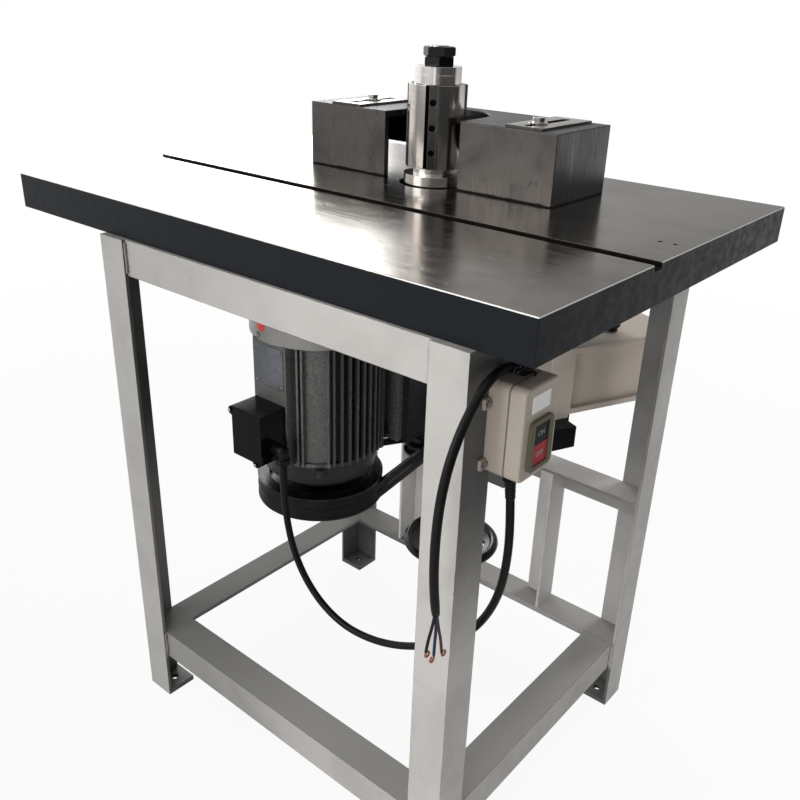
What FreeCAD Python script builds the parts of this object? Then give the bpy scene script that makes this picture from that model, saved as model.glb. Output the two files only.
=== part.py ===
import FreeCAD, Part
import math
import os

# Spindle moulder, millimetres, +Z up, floor at Z 0, front is -Y, table length along X

# Table
TABLE_LENGTH = 900.0
TABLE_WIDTH = 655.0
TABLE_THICK = 50.0
TABLE_HEIGHT = 840.0
PLATE_THICK = 20.0
SKIRT_THICK = 18.0
RIB_THICK = 16.0
EDGE_CHAMFER = 1.2
SLOT_WIDTH = 19.0
SLOT_DEPTH = 8.0
SLOT_FROM_FRONT = 244.0
SPINDLE_HOLE_R = 53.0
HOLE_BOSS_R = 72.0
STOP_HOLE_R = 3.0
STOP_HOLE_X = (409.0, 428.0)
STOP_HOLE_FROM_FRONT = 336.0

# Angle-iron frame
FRAME_PROUD = 10.0
FRAME_LEFT = -236.0
FRAME_RIGHT = 385.0
FRAME_DEPTH = 529.0
ANGLE_W = 50.0
ANGLE_T = 5.0
FOOT_THICK = 8.0
FOOT_HOLE_R = 6.0
LOW_RAIL_TOP = 133.0
MID_RAIL_TOP = 405.0
POST_LEFT_X = -80.0
POST_RIGHT_X = 238.0
POST_W = 45.0
BOLT_R = 4.0
BOLT_CLEAR = 0.5
BOLT_AF = 13.0
BOLT_HEAD = 5.5

# Spindle and its parts
SPINDLE_X = 7.0
SPINDLE_TO_COLUMN = 52.5
SHAFT_R = 17.5
TAIL_R = 12.0
NOSE_R = 13.5
COLLAR_R = 46.0
COLLAR_LIFT = 1.0
COLLAR_H = 14.0
NECK_R = 34.0
NECK_H = 10.0
BLOCK_R = 42.5
BLOCK_H = 116.5
SPACER_R = 33.6
SPACER_H = (13.0, 11.0)
NUT_AF = 41.0
NUT_H = 12.6
NUT_GAP = 0.6
NOSE_PROUD = 1.5
KNIFE_COUNT = 4
KNIFE_T = 3.0
KNIFE_PROUD = 1.0
GIB_W = 12.0
GIB_DEEP = 16.5
GIB_SUNK = 4.0
GULLET_W = 5.0
GULLET_DEEP = 9.0
GIB_SCREW_R = 4.8
GIB_SCREW_H = 7.0

# Fence casting
FENCE_X = -2.5
FENCE_LENGTH = 455.0
FENCE_DEPTH = 145.0
FENCE_HEIGHT = 97.0
FENCE_BEFORE_SPINDLE = 21.5
FENCE_WALL = 9.0
FENCE_TOP_T = 10.0
FENCE_BACK_GAP = 30.0
FENCE_GLIDE = 0.1
MOUTH_X = -3.5
MOUTH_HALF = 70.0
MOUTH_DEPTH = 120.0
PAD_HALF = 30.0
PAD_H = 3.5
PAD_MARGIN = 6.0
FENCE_SLOT_HALF = 6.6
FENCE_SLOT_START = 12.0
FENCE_SLOT_LENGTH = 111.0
CLAMP_X = (-160.0, 168.0)
CLAMP_BEHIND_FACE = (68.5, 42.5)
CLAMP_R = 5.0
CLAMP_AF = 15.0
CLAMP_HEAD = 6.4
WASHER_R = 13.0
WASHER_T = 2.5
CLAMP_BOSS_R = 18.0

# Lift column, carriage and screw
COLUMN_X = 50.0
COLUMN_HALF = 65.0
COLUMN_WALL = 13.0
DOVE_ROOT_HALF = 36.0
DOVE_H = 12.0
DOVE_ANGLE = 30.0
SLIDE_GAP = 0.3
SLIDE_HALF = 62.0
SLIDE_THICK = 23.0
CARRIAGE_LOW = 455.0
CARRIAGE_HIGH = 655.0
HOUSING_R = 48.0
NECK_WALL = 12.0
MOTOR_PLATE_T = 14.0
HOUSING_LOW = 448.0
HOUSING_HIGH = 668.0
HOUSING_BORE_R = 30.0
BEARING_R = 36.0
BEARING_H = 17.0
CAP_R = 39.0
CAP_T = 8.0
CAP_BORE_R = 21.0
SCREW_X = 88.0
SCREW_TO_COLUMN = 62.0
SCREW_R = 9.0
SCREW_FIT = 0.05
SCREW_TOP = 600.0
SCREW_COLLAR_R = 14.0
SCREW_COLLAR_H = 9.0
NUT_BODY_R = 16.0
NUT_LOW = 470.0
NUT_HIGH = 512.0
NUT_FLANGE_R = 18.6
NUT_FLANGE_T = 6.0
BRACKET_T = 26.0
BRACKET_RIGHT = 180.0
BRACKET_ARM_HALF = 28.0
BRACKET_FRONT = 36.0
BRACKET_BAR_TO_COLUMN = 54.0
WHEEL_R = 82.0
WHEEL_RIM_R = 7.5
WHEEL_Z = 238.0
WHEEL_HUB_R = 19.0
WHEEL_HUB_H = 34.0
WHEEL_WEB_T = 7.0
WHEEL_DISH = 13.0
WHEEL_WINDOW_R = 13.0

# Motor
MOTOR_X = -31.0
MOTOR_TO_COLUMN = 261.0
MOTOR_LOW = 466.0
MOTOR_HIGH = 655.0
MOTOR_R = 86.0
FIN_R = 98.0
FIN_T = 3.0
STATOR_R = 75.0
STATOR_BORE_R = 46.0
AIR_GAP = 0.6
STATOR_LOW = 498.0
STATOR_HIGH = 622.0
PANEL_HALF = 33.0
PANEL_OUT = 99.0
FOOT_PLANE = 90.0
FOOT_HALF = 70.0
FOOT_W = 38.0
FOOT_T = 11.0
FOOT_WEB_T = 15.0
FOOT_WEB_AT = 44.0
FOOT_BOLT_Z = (480.0, 605.0)
FOOT_END = 15.0
FOOT_BOLT_R = 4.0
SHIELD_R = 89.6
SHIELD_LOW_R = 85.0
SHIELD_H = 38.0
TOP_SHIELD_H = 13.0
MOTOR_SHAFT_R = 12.0
MOTOR_BEARING_R = 26.0
MOTOR_BEARING_H = 15.0
BEARING_FIT = 0.02
COVER_R = 101.0
COVER_H = 69.0
COVER_WALL = 2.0
COVER_DOME = 10.0
FAN_R = 84.0
FAN_H = 32.0
FAN_BLADES = 6
FAN_BLADE_T = 4.0

# Belts and pulleys
BIG_PULLEY_R = 98.0
SMALL_PULLEY_R = 31.0
PULLEY_LOW = 380.0
PULLEY_W = 37.0
BELT_PITCH = 15.5
BELT_TOP_HALF = 6.5
BELT_ROOT_HALF = 3.9
BELT_H = 8.0
BELT_GAP = 0.4
BELT_SUNK = 0.5

# Terminal box and plate on the motor
TBOX_HALF = 30.0
TBOX_DEEP = 36.0
TBOX_LOW = 490.0
TBOX_HIGH = 566.0
TBOX_WALL = 3.0
TLID_T = 11.0
TLID_EAR_R = 7.0
GLAND_R = 9.0
GLAND_DROP = 20.5
GLAND_CLEAR = 0.7
PLATE_HALF = 28.0
PLATE_LOW = 590.0
PLATE_HIGH = 650.0
PLATE_T = 1.0

# Push-button switch
SWITCH_FROM_FRONT = 27.0
SWITCH_W = 66.0
SWITCH_LOW = 645.0
SWITCH_HIGH = 751.0
SWITCH_BASE = 25.0
SWITCH_COVER = 19.0
SWITCH_WALL = 3.0
SWITCH_ROUND = 9.0
SWITCH_EAR = 10.0
BEZEL_W = 43.0
BEZEL_H = 58.0
BEZEL_T = 4.0
BEZEL_LOW = 10.0
BEZEL_RIM = 7.0
BUTTON_GAP = 0.5
BUTTON_DEEP = 18.0
BUTTON_SUNK = 1.5
BUTTON_TRAVEL = 4.0
CONTACT_GAP = 1.0

# Cords
CORD_R = 5.0
CORE_R = 1.7
COPPER_R = 1.0
COPPER_LENGTH = 9.0
GLAND_OUT = 46.3
GLAND_DEEP = 21.9
CORD_FROM_LEG = 15.0
# Motor cable: shares of the way from terminal gland to switch along X and along Y, and a height
MOTOR_CABLE_WAY = [
    (0.0, 0.0, 490.0),
    (0.0109, 0.063, 449.5),
    (0.0369, 0.127, 406.0),
    (0.0798, 0.186, 363.0),
    (0.1461, 0.253, 325.0),
    (0.2384, 0.321, 297.5),
    (0.3449, 0.389, 285.5),
    (0.4554, 0.434, 288.5),
    (0.5633, 0.502, 302.5),
    (0.6686, 0.57, 325.0),
    (0.7674, 0.615, 353.0),
    (0.8557, 0.683, 387.5),
    (0.9259, 0.751, 429.0),
    (0.9727, 0.819, 475.5),
    (0.9974, 0.887, 526.0),
    (1.0039, 0.932, 577.5),
    (1.0, 1.0, 628.0),
]
CORD_GLAND_R = 7.5
CORD_GLAND_LENGTH = 20.0
# Supply cord: places along Y from the middle of the switch, and heights
SUPPLY_CORD_WAY = [
    (0.5, 757.0),
    (-19.5, 766.3),
    (-41.5, 767.5),
    (-62.2, 760.3),
    (-78.8, 746.0),
    (-96.8, 724.4),
    (-111.8, 696.0),
    (-121.7, 661.5),
    (-125.9, 621.8),
    (-125.5, 577.8),
    (-122.0, 538.0),
    (-117.2, 510.4),
]
# Cores: places from the supply cord along X, from the middle of the switch along Y, and heights
CORE_WAYS = [
    [(0.0, -119.3, 509.3), (0.0, -122.7, 492.0), (0.0, -128.9, 474.5), (0.0, -131.5, 457.5)],
    [(0.4, -117.1, 509.9), (0.4, -115.1, 489.0), (0.4, -116.1, 469.0), (0.4, -114.7, 449.5)],
    [(-0.4, -114.8, 509.5), (-0.4, -110.5, 492.0), (-0.4, -103.5, 475.5), (-0.4, -100.0, 458.0)],
]

# Box behind the frame, turned against the table
BOX_EDGE_X = 265.6
BOX_EDGE_FROM_REAR = 78.5
BOX_TURN = 24.0
BOX_STILE = 42.3
BOX_REACH = 195.5
BOX_DEEP = 94.0
BOX_LOW = 526.5
BOX_HIGH = 633.7
BOX_STILE_DROP = 5.6
BOX_LIP = 8.5
BOX_RECESS = 9.4
BOX_SHEET = 2.0
MOUNT_LENGTH = 62.0
MOUNT_END = 8.5
MOUNT_OUT = 30.0
MOUNT_UNDER = 11.3
MOUNT_H = 33.8
MOUNT_TAIL = (-38.0, 8.0)
MOUNT_TAIL_END = 88.0
MOUNT_TAIL_T = 20.0
MOUNT_FOOT = 18.0
KNOB_U = 97.8
KNOB_V = -46.1
KNOB_R = 9.4
KNOB_H = 12.2

# Derived places
FRAME_FRONT = -(TABLE_WIDTH + FRAME_PROUD) / 2.0
TABLE_FRONT = FRAME_FRONT + FRAME_PROUD
TABLE_REAR = TABLE_FRONT + TABLE_WIDTH
FRAME_REAR = FRAME_FRONT + FRAME_DEPTH
UNDER = TABLE_HEIGHT - TABLE_THICK
PLATE_UNDER = TABLE_HEIGHT - PLATE_THICK
RAIL_L = FRAME_LEFT + ANGLE_T
RAIL_R = FRAME_RIGHT - ANGLE_T
RAIL_F = FRAME_FRONT + ANGLE_T
RAIL_B = FRAME_REAR - ANGLE_T
RIB_LEFT_X = RAIL_L + ANGLE_W / 2.0
RIB_RIGHT_X = RAIL_R - ANGLE_W / 2.0
RIB_REAR_Y = RAIL_B - ANGLE_W / 2.0
COLUMN_FACE = RAIL_B - ANGLE_W
SPINDLE_Y = COLUMN_FACE - SPINDLE_TO_COLUMN
SCREW_Y = COLUMN_FACE - SCREW_TO_COLUMN
MOTOR_Y = COLUMN_FACE - MOTOR_TO_COLUMN
SLOT_Y = TABLE_FRONT + SLOT_FROM_FRONT
FENCE_Y = SPINDLE_Y - FENCE_BEFORE_SPINDLE
CLAMPS = [(x, FENCE_Y + y) for x, y in zip(CLAMP_X, CLAMP_BEHIND_FACE)]
COLUMN_BACK = RAIL_B - ANGLE_T
SLIDE_FACE = COLUMN_FACE - SLIDE_GAP
BRACKET_TOP = MID_RAIL_TOP - ANGLE_T
BRACKET_LOW = BRACKET_TOP - BRACKET_T
PULLEY_HIGH = PULLEY_LOW + PULLEY_W
BELT_Z = [PULLEY_LOW + PULLEY_W / 2.0 + s * BELT_PITCH / 2.0 for s in (-1, 1)]
FOOT_FACE = MOTOR_Y + FOOT_PLANE
COLLAR_LOW = TABLE_HEIGHT + COLLAR_LIFT
NECK_LOW = COLLAR_LOW + COLLAR_H
BLOCK_LOW = NECK_LOW + NECK_H
BLOCK_HIGH = BLOCK_LOW + BLOCK_H
NUTS_LOW = BLOCK_HIGH + sum(SPACER_H)
NOSE_TOP = NUTS_LOW + 2.0 * NUT_H + NUT_GAP + NOSE_PROUD
SWITCH_X = FRAME_RIGHT
SWITCH_SEAM = SWITCH_X + SWITCH_BASE
SWITCH_FACE = SWITCH_SEAM + SWITCH_COVER
SWITCH_Y0 = TABLE_FRONT + SWITCH_FROM_FRONT
SWITCH_Y1 = SWITCH_Y0 + SWITCH_W
SWITCH_MID_Y = (SWITCH_Y0 + SWITCH_Y1) / 2.0
CORD_X = SWITCH_X + CORD_FROM_LEG
GLAND_X = MOTOR_X + GLAND_OUT
GLAND_Y = MOTOR_Y - PANEL_OUT - GLAND_DEEP
MOTOR_CABLE = [(GLAND_X + (CORD_X - GLAND_X) * a, GLAND_Y + (SWITCH_MID_Y - GLAND_Y) * b, z)
               for a, b, z in MOTOR_CABLE_WAY]
SUPPLY_CORD = [(CORD_X, SWITCH_MID_Y + y, z) for y, z in SUPPLY_CORD_WAY]
CORES = [[(CORD_X + x, SWITCH_MID_Y + y, z) for x, y, z in way] for way in CORE_WAYS]
BEZEL_Y0 = (SWITCH_Y0 + SWITCH_Y1 - BEZEL_W) / 2.0
BEZEL_Z0 = SWITCH_LOW + BEZEL_LOW
BOX_EDGE_Y = FRAME_REAR - BOX_EDGE_FROM_REAR
UP = FreeCAD.Vector(0, 0, 1)


def vec(x, y, z=0.0):
    return FreeCAD.Vector(x, y, z)


def box(x0, x1, y0, y1, z0, z1):
    return Part.makeBox(x1 - x0, y1 - y0, z1 - z0, vec(x0, y0, z0))


def rod(x, y, z0, z1, r):
    return Part.makeCylinder(r, z1 - z0, vec(x, y, z0))


def ring(x, y, z0, z1, r, bore):
    return rod(x, y, z0, z1, r).cut(rod(x, y, z0 - 1.0, z1 + 1.0, bore))


def rod_along(p, axis, length, r):
    return Part.makeCylinder(r, length, vec(*p), vec(*axis))


def prism(points, z0, z1):
    wire = Part.makePolygon([vec(x, y, z0) for x, y in points + points[:1]])
    return Part.Face(wire).extrude(vec(0, 0, z1 - z0))


def hexagon(x, y, z0, z1, across, turn=0.0):
    r = across / math.sqrt(3.0)
    angles = [math.radians(60.0 * i + turn) for i in range(6)]
    return prism([(x + r * math.cos(a), y + r * math.sin(a)) for a in angles], z0, z1)


def turned(profile, x, y):
    """Solid of revolution about the vertical through (x, y) from (radius, height) points."""
    wire = Part.makePolygon([vec(x + r, y, z) for r, z in profile + profile[:1]])
    return Part.Face(wire).revolve(vec(x, y, 0), UP, 360.0)


def fused(shapes):
    body = shapes[0].multiFuse(shapes[1:]) if len(shapes) > 1 else shapes[0]
    return body.removeSplitter()


def rounded(shape, radius, pick):
    edges = [e for e in shape.Edges if pick(e)]
    return shape.makeFillet(radius, edges)


def save(name, shapes):
    whole = shapes[0] if len(shapes) == 1 else Part.makeCompound(shapes)
    whole.exportStep("parts/" + name + ".step")
    print(name, "solids", len(whole.Solids), "volume", round(whole.Volume), "valid", whole.isValid())


# Angle-iron frame
def leg(x, y, sx, sy):
    """Angle leg with its outer corner at (x, y) and its flanges running inwards."""
    xs = sorted((x, x + sx * ANGLE_W))
    ys = sorted((y, y + sy * ANGLE_W))
    body = box(xs[0], xs[1], ys[0], ys[1], 0.0, UNDER)
    ix = sorted((x + sx * ANGLE_T, x + sx * (ANGLE_W + 1.0)))
    iy = sorted((y + sy * ANGLE_T, y + sy * (ANGLE_W + 1.0)))
    return body.cut(box(ix[0], ix[1], iy[0], iy[1], -1.0, UNDER + 1.0))


def foot_plate(x, y, sx, sy):
    xs = sorted((x + sx * ANGLE_T, x + sx * ANGLE_W))
    ys = sorted((y + sy * ANGLE_T, y + sy * ANGLE_W))
    plate = box(xs[0], xs[1], ys[0], ys[1], 0.0, FOOT_THICK)
    return plate.cut(rod(sum(xs) / 2.0, sum(ys) / 2.0, -1.0, FOOT_THICK + 1.0, FOOT_HOLE_R))


def rail_x(x0, x1, outer, inward, top):
    """Angle rail along X, its upright flange on the outer line and its flat flange on top."""
    ys = sorted((outer, outer + inward * ANGLE_T))
    yf = sorted((outer, outer + inward * ANGLE_W))
    upright = box(x0, x1, ys[0], ys[1], top - ANGLE_W, top)
    return fused([upright, box(x0, x1, yf[0], yf[1], top - ANGLE_T, top)])


def rail_y(y0, y1, outer, inward, top):
    xs = sorted((outer, outer + inward * ANGLE_T))
    xf = sorted((outer, outer + inward * ANGLE_W))
    upright = box(xs[0], xs[1], y0, y1, top - ANGLE_W, top)
    return fused([upright, box(xf[0], xf[1], y0, y1, top - ANGLE_T, top)])


def rear_post(x, sx):
    """Angle post on the rear low rail, its corner at the back and outside."""
    xs = sorted((x, x + sx * POST_W))
    ix = sorted((x + sx * ANGLE_T, x + sx * (POST_W + 1.0)))
    back = RAIL_B - ANGLE_T
    body = box(xs[0], xs[1], back - POST_W, back, LOW_RAIL_TOP, MID_RAIL_TOP - ANGLE_T)
    return body.cut(box(ix[0], ix[1], back - POST_W - 1.0, back - ANGLE_T, 0.0, MID_RAIL_TOP))


def bolt_up(x, y, under, grip):
    """Hexagon bolt with its head under a flange and its shank going up."""
    return fused([hexagon(x, y, under - BOLT_HEAD, under, BOLT_AF),
                  rod(x, y, under - 1.0, under + grip, BOLT_R)])


TABLE_BOLTS = [
    (-150.0, TABLE_FRONT + SKIRT_THICK / 2.0),
    (300.0, TABLE_FRONT + SKIRT_THICK / 2.0),
    (-150.0, RIB_REAR_Y),
    (300.0, RIB_REAR_Y),
]
COLUMN_BOLTS = [(COLUMN_X - 20.0, RIB_REAR_Y), (COLUMN_X + 40.0, RIB_REAR_Y)]


def drilled(shape, places, z0, z1, r):
    for x, y in places:
        shape = shape.cut(rod(x, y, z0, z1, r))
    return shape


def make_frame():
    corners = {
        "front_legs": [(FRAME_LEFT, FRAME_FRONT, 1, 1), (FRAME_RIGHT, FRAME_FRONT, -1, 1)],
        "rear_legs": [(FRAME_LEFT, FRAME_REAR, 1, -1), (FRAME_RIGHT, FRAME_REAR, -1, -1)],
    }
    for name, places in corners.items():
        save(name, [leg(*place) for place in places])
    save("foot_plates", [foot_plate(*place) for places in corners.values() for place in places])
    hole_r = BOLT_R + BOLT_CLEAR
    front = rail_x(RAIL_L, RAIL_R, RAIL_F, 1, UNDER)
    rear = rail_x(RAIL_L, RAIL_R, RAIL_B, -1, UNDER)
    save("top_rail_front", [drilled(front, TABLE_BOLTS[:2], UNDER - 10.0, UNDER + 1.0, hole_r)])
    save("top_rail_rear", [drilled(rear, TABLE_BOLTS[2:] + COLUMN_BOLTS, UNDER - 10.0, UNDER + 1.0,
                                   hole_r)])
    y0 = RAIL_F + ANGLE_W
    y1 = RAIL_B - ANGLE_W
    save("top_side_rails", [rail_y(y0, y1, RAIL_L, 1, UNDER), rail_y(y0, y1, RAIL_R, -1, UNDER)])
    save("bottom_rail_front", [rail_x(RAIL_L, RAIL_R, RAIL_F, 1, LOW_RAIL_TOP)])
    save("bottom_rail_rear", [rail_x(RAIL_L, RAIL_R, RAIL_B, -1, LOW_RAIL_TOP)])
    sides = [rail_y(y0, y1, RAIL_L, 1, LOW_RAIL_TOP), rail_y(y0, y1, RAIL_R, -1, LOW_RAIL_TOP)]
    save("bottom_side_rails", sides)
    save("rear_posts", [rear_post(POST_LEFT_X, 1), rear_post(POST_RIGHT_X, -1)])
    mid = rail_x(POST_LEFT_X, RAIL_R, RAIL_B, -1, MID_RAIL_TOP)
    save("mid_rail", [drilled(mid, COLUMN_BOLTS, BRACKET_TOP - 5.0, MID_RAIL_TOP + 1.0, hole_r)])


# Table
def make_table():
    left = -TABLE_LENGTH / 2.0
    right = TABLE_LENGTH / 2.0
    plate = box(left, right, TABLE_FRONT, TABLE_REAR, PLATE_UNDER, TABLE_HEIGHT)
    top_edges = lambda e: abs(e.CenterOfMass.z - TABLE_HEIGHT) < 0.01
    plate = plate.makeChamfer(EDGE_CHAMFER, [e for e in plate.Edges if top_edges(e)])
    skirt = box(left, right, TABLE_FRONT, TABLE_REAR, UNDER, PLATE_UNDER)
    inner = (left + SKIRT_THICK, right - SKIRT_THICK, TABLE_FRONT + SKIRT_THICK, TABLE_REAR - SKIRT_THICK)
    skirt = skirt.cut(box(inner[0], inner[1], inner[2], inner[3], UNDER - 1.0, PLATE_UNDER + 1.0))
    half = RIB_THICK / 2.0
    ribs = [box(inner[0], inner[1], RIB_REAR_Y - half, RIB_REAR_Y + half, UNDER, PLATE_UNDER)]
    for x in (RIB_LEFT_X, RIB_RIGHT_X):
        ribs.append(box(x - half, x + half, inner[2], inner[3], UNDER, PLATE_UNDER))
    bosses = [rod(SPINDLE_X, SPINDLE_Y, PLATE_UNDER - 15.0, PLATE_UNDER, HOLE_BOSS_R)]
    for x, y in CLAMPS:
        bosses.append(rod(x, y, PLATE_UNDER - 15.0, PLATE_UNDER, CLAMP_BOSS_R))
    for x, y in TABLE_BOLTS + COLUMN_BOLTS:
        bosses.append(rod(x, y, UNDER, PLATE_UNDER, BOLT_R + 5.0))
    table = fused([plate, skirt] + ribs + bosses)
    slot_y = (SLOT_Y - SLOT_WIDTH / 2.0, SLOT_Y + SLOT_WIDTH / 2.0)
    table = table.cut(box(left - 1.0, right + 1.0, slot_y[0], slot_y[1], TABLE_HEIGHT - SLOT_DEPTH,
                          TABLE_HEIGHT + 1.0))
    table = table.cut(rod(SPINDLE_X, SPINDLE_Y, UNDER - 1.0, TABLE_HEIGHT + 1.0, SPINDLE_HOLE_R))
    for x in STOP_HOLE_X:
        table = table.cut(rod(x, TABLE_FRONT + STOP_HOLE_FROM_FRONT, PLATE_UNDER + 4.0,
                              TABLE_HEIGHT + 1.0, STOP_HOLE_R))
    table = drilled(table, TABLE_BOLTS + COLUMN_BOLTS, UNDER - 1.0, PLATE_UNDER - 8.0, BOLT_R)
    save("table_top", [drilled(table, CLAMPS, UNDER, TABLE_HEIGHT + 1.0, CLAMP_R)])
    rail_under = UNDER - ANGLE_T
    bolts = [bolt_up(x, y, rail_under, ANGLE_T + 18.0) for x, y in TABLE_BOLTS]
    bolts += [bolt_up(x, y, rail_under - COLUMN_WALL, COLUMN_WALL + ANGLE_T + 18.0)
              for x, y in COLUMN_BOLTS]
    bolts += [bolt_up(x, y, BRACKET_LOW, BRACKET_T + ANGLE_T + 10.0) for x, y in COLUMN_BOLTS]
    save("frame_bolts", bolts)


# Fence
def make_fence():
    left = FENCE_X - FENCE_LENGTH / 2.0
    right = FENCE_X + FENCE_LENGTH / 2.0
    low = TABLE_HEIGHT + FENCE_GLIDE
    high = TABLE_HEIGHT + FENCE_HEIGHT
    under = high - FENCE_TOP_T
    rear = FENCE_Y + FENCE_DEPTH
    inside = FENCE_Y + FENCE_WALL
    parts = [box(left, right, FENCE_Y, rear, under, high)]
    parts.append(box(left, MOUTH_X - MOUTH_HALF, FENCE_Y, inside, low, under))
    parts.append(box(MOUTH_X + MOUTH_HALF, right, FENCE_Y, inside, low, under))
    parts.append(box(left, left + FENCE_WALL, inside, rear, low, under))
    parts.append(box(right - FENCE_WALL, right, inside, rear, low, under))
    parts.append(box(left, right, rear - FENCE_WALL, rear, low + FENCE_BACK_GAP, under))
    pad = (FENCE_Y + PAD_MARGIN, rear - PAD_MARGIN)
    for x in CLAMP_X:
        parts.append(box(x - PAD_HALF, x + PAD_HALF, pad[0], pad[1], high, high + PAD_H))
    fence = fused(parts)
    mouth_y = FENCE_Y + MOUTH_DEPTH - MOUTH_HALF
    tall = (under - 1.0, high + 10.0)
    sides = (MOUTH_X - MOUTH_HALF, MOUTH_X + MOUTH_HALF)
    fence = fence.cut(box(sides[0], sides[1], FENCE_Y - 1.0, mouth_y, tall[0], tall[1]))
    fence = fence.cut(rod(MOUTH_X, mouth_y, tall[0], tall[1], MOUTH_HALF))
    start = FENCE_Y + FENCE_SLOT_START + FENCE_SLOT_HALF
    ends = (start, start + FENCE_SLOT_LENGTH - 2.0 * FENCE_SLOT_HALF)
    for x in CLAMP_X:
        cutter = box(x - FENCE_SLOT_HALF, x + FENCE_SLOT_HALF, ends[0], ends[1], tall[0], tall[1])
        rounds = [rod(x, y, tall[0], tall[1], FENCE_SLOT_HALF) for y in ends]
        fence = fence.cut(fused([cutter] + rounds))
    save("fence_casting", [fence])
    seat = high + PAD_H
    bolts = []
    for x, y in CLAMPS:
        head = hexagon(x, y, seat + WASHER_T, seat + WASHER_T + CLAMP_HEAD, CLAMP_AF, 15.0)
        bolts.append(fused([head, rod(x, y, PLATE_UNDER - 10.0, seat + WASHER_T + 1.0, CLAMP_R)]))
    washers = [ring(x, y, seat, seat + WASHER_T, WASHER_R, CLAMP_R) for x, y in CLAMPS]
    save("fence_bolts", bolts + washers)


# Lift column, bracket, screw and handwheel
def dovetail(gap, z0, z1):
    """Dovetail bar on the column face; a gap above zero gives the matching groove."""
    flare = DOVE_H * math.tan(math.radians(DOVE_ANGLE))
    root = DOVE_ROOT_HALF + gap
    tip_y = COLUMN_FACE - DOVE_H - gap
    tip = root + flare + gap * math.tan(math.radians(DOVE_ANGLE))
    back = COLUMN_FACE + 1.0
    inner = root - math.tan(math.radians(DOVE_ANGLE))
    pts = [(-inner, back), (-tip, tip_y), (tip, tip_y), (inner, back)]
    return prism([(COLUMN_X + x, y) for x, y in pts], z0, z1)


def make_column():
    x0 = COLUMN_X - COLUMN_HALF
    x1 = COLUMN_X + COLUMN_HALF
    low = MID_RAIL_TOP
    high = UNDER - ANGLE_T
    body = box(x0, x1, COLUMN_FACE, COLUMN_BACK, low, high)
    pocket = box(x0 + COLUMN_WALL, x1 - COLUMN_WALL, COLUMN_FACE + COLUMN_WALL, COLUMN_BACK + 1.0,
                 low + COLUMN_WALL, high - COLUMN_WALL)
    body = fused([body.cut(pocket), dovetail(0.0, low + 10.0, high - 10.0)])
    body = drilled(body, COLUMN_BOLTS, low - 1.0, low + 10.0, BOLT_R)
    save("lift_column", [drilled(body, COLUMN_BOLTS, high - COLUMN_WALL - 1.0, high + 1.0, BOLT_R)])
    bar_front = COLUMN_FACE - BRACKET_BAR_TO_COLUMN
    bar = box(COLUMN_X + 4.0, BRACKET_RIGHT, bar_front, COLUMN_BACK, BRACKET_LOW, BRACKET_TOP)
    left = box(COLUMN_X - 36.0, COLUMN_X + 5.0, COLUMN_FACE, COLUMN_BACK, BRACKET_LOW, BRACKET_TOP)
    arm = box(SCREW_X - BRACKET_ARM_HALF, SCREW_X + BRACKET_ARM_HALF, SCREW_Y - BRACKET_FRONT,
              bar_front + 1.0,
              BRACKET_LOW, BRACKET_TOP)
    bracket = fused([bar, left, arm])
    bore = SCREW_R + SCREW_FIT
    bracket = bracket.cut(rod(SCREW_X, SCREW_Y, BRACKET_LOW - 1.0, BRACKET_TOP + 1.0, bore))
    save("screw_bracket", [drilled(bracket, COLUMN_BOLTS, BRACKET_LOW - 1.0, BRACKET_TOP + 1.0, BOLT_R)])


def make_lift_screw():
    stop = BRACKET_TOP + 0.1
    collar = rod(SCREW_X, SCREW_Y, stop, stop + SCREW_COLLAR_H, SCREW_COLLAR_R)
    low_collar = rod(SCREW_X, SCREW_Y, BRACKET_LOW - 0.1 - SCREW_COLLAR_H, BRACKET_LOW - 0.1,
                     SCREW_COLLAR_R)
    screw = rod(SCREW_X, SCREW_Y, WHEEL_Z - WHEEL_HUB_H / 2.0, SCREW_TOP, SCREW_R)
    save("lead_screw", [fused([screw, collar, low_collar])])
    rim_at = WHEEL_R - WHEEL_RIM_R
    rim = Part.makeTorus(rim_at, WHEEL_RIM_R, vec(SCREW_X, SCREW_Y, WHEEL_Z), UP)
    hub_low = WHEEL_Z - WHEEL_HUB_H / 2.0
    hub = rod(SCREW_X, SCREW_Y, hub_low, hub_low + WHEEL_HUB_H, WHEEL_HUB_R)
    web_z = WHEEL_Z - WHEEL_DISH
    half = WHEEL_WEB_T / 2.0
    web = turned([(WHEEL_HUB_R - 4.0, web_z - half), (rim_at, WHEEL_Z - half), (rim_at, WHEEL_Z + half),
                  (WHEEL_HUB_R - 4.0, web_z + half)], SCREW_X, SCREW_Y)
    wheel = fused([rim, hub, web])
    window_at = (WHEEL_HUB_R + rim_at) / 2.0
    for i in range(3):
        a = math.radians(120.0 * i + 30.0)
        x = SCREW_X + window_at * math.cos(a)
        y = SCREW_Y + window_at * math.sin(a)
        wheel = wheel.cut(rod(x, y, hub_low - 5.0, WHEEL_Z + 20.0, WHEEL_WINDOW_R))
    save("handwheel", [wheel.cut(rod(SCREW_X, SCREW_Y, 0.0, BRACKET_LOW, SCREW_R))])


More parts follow.
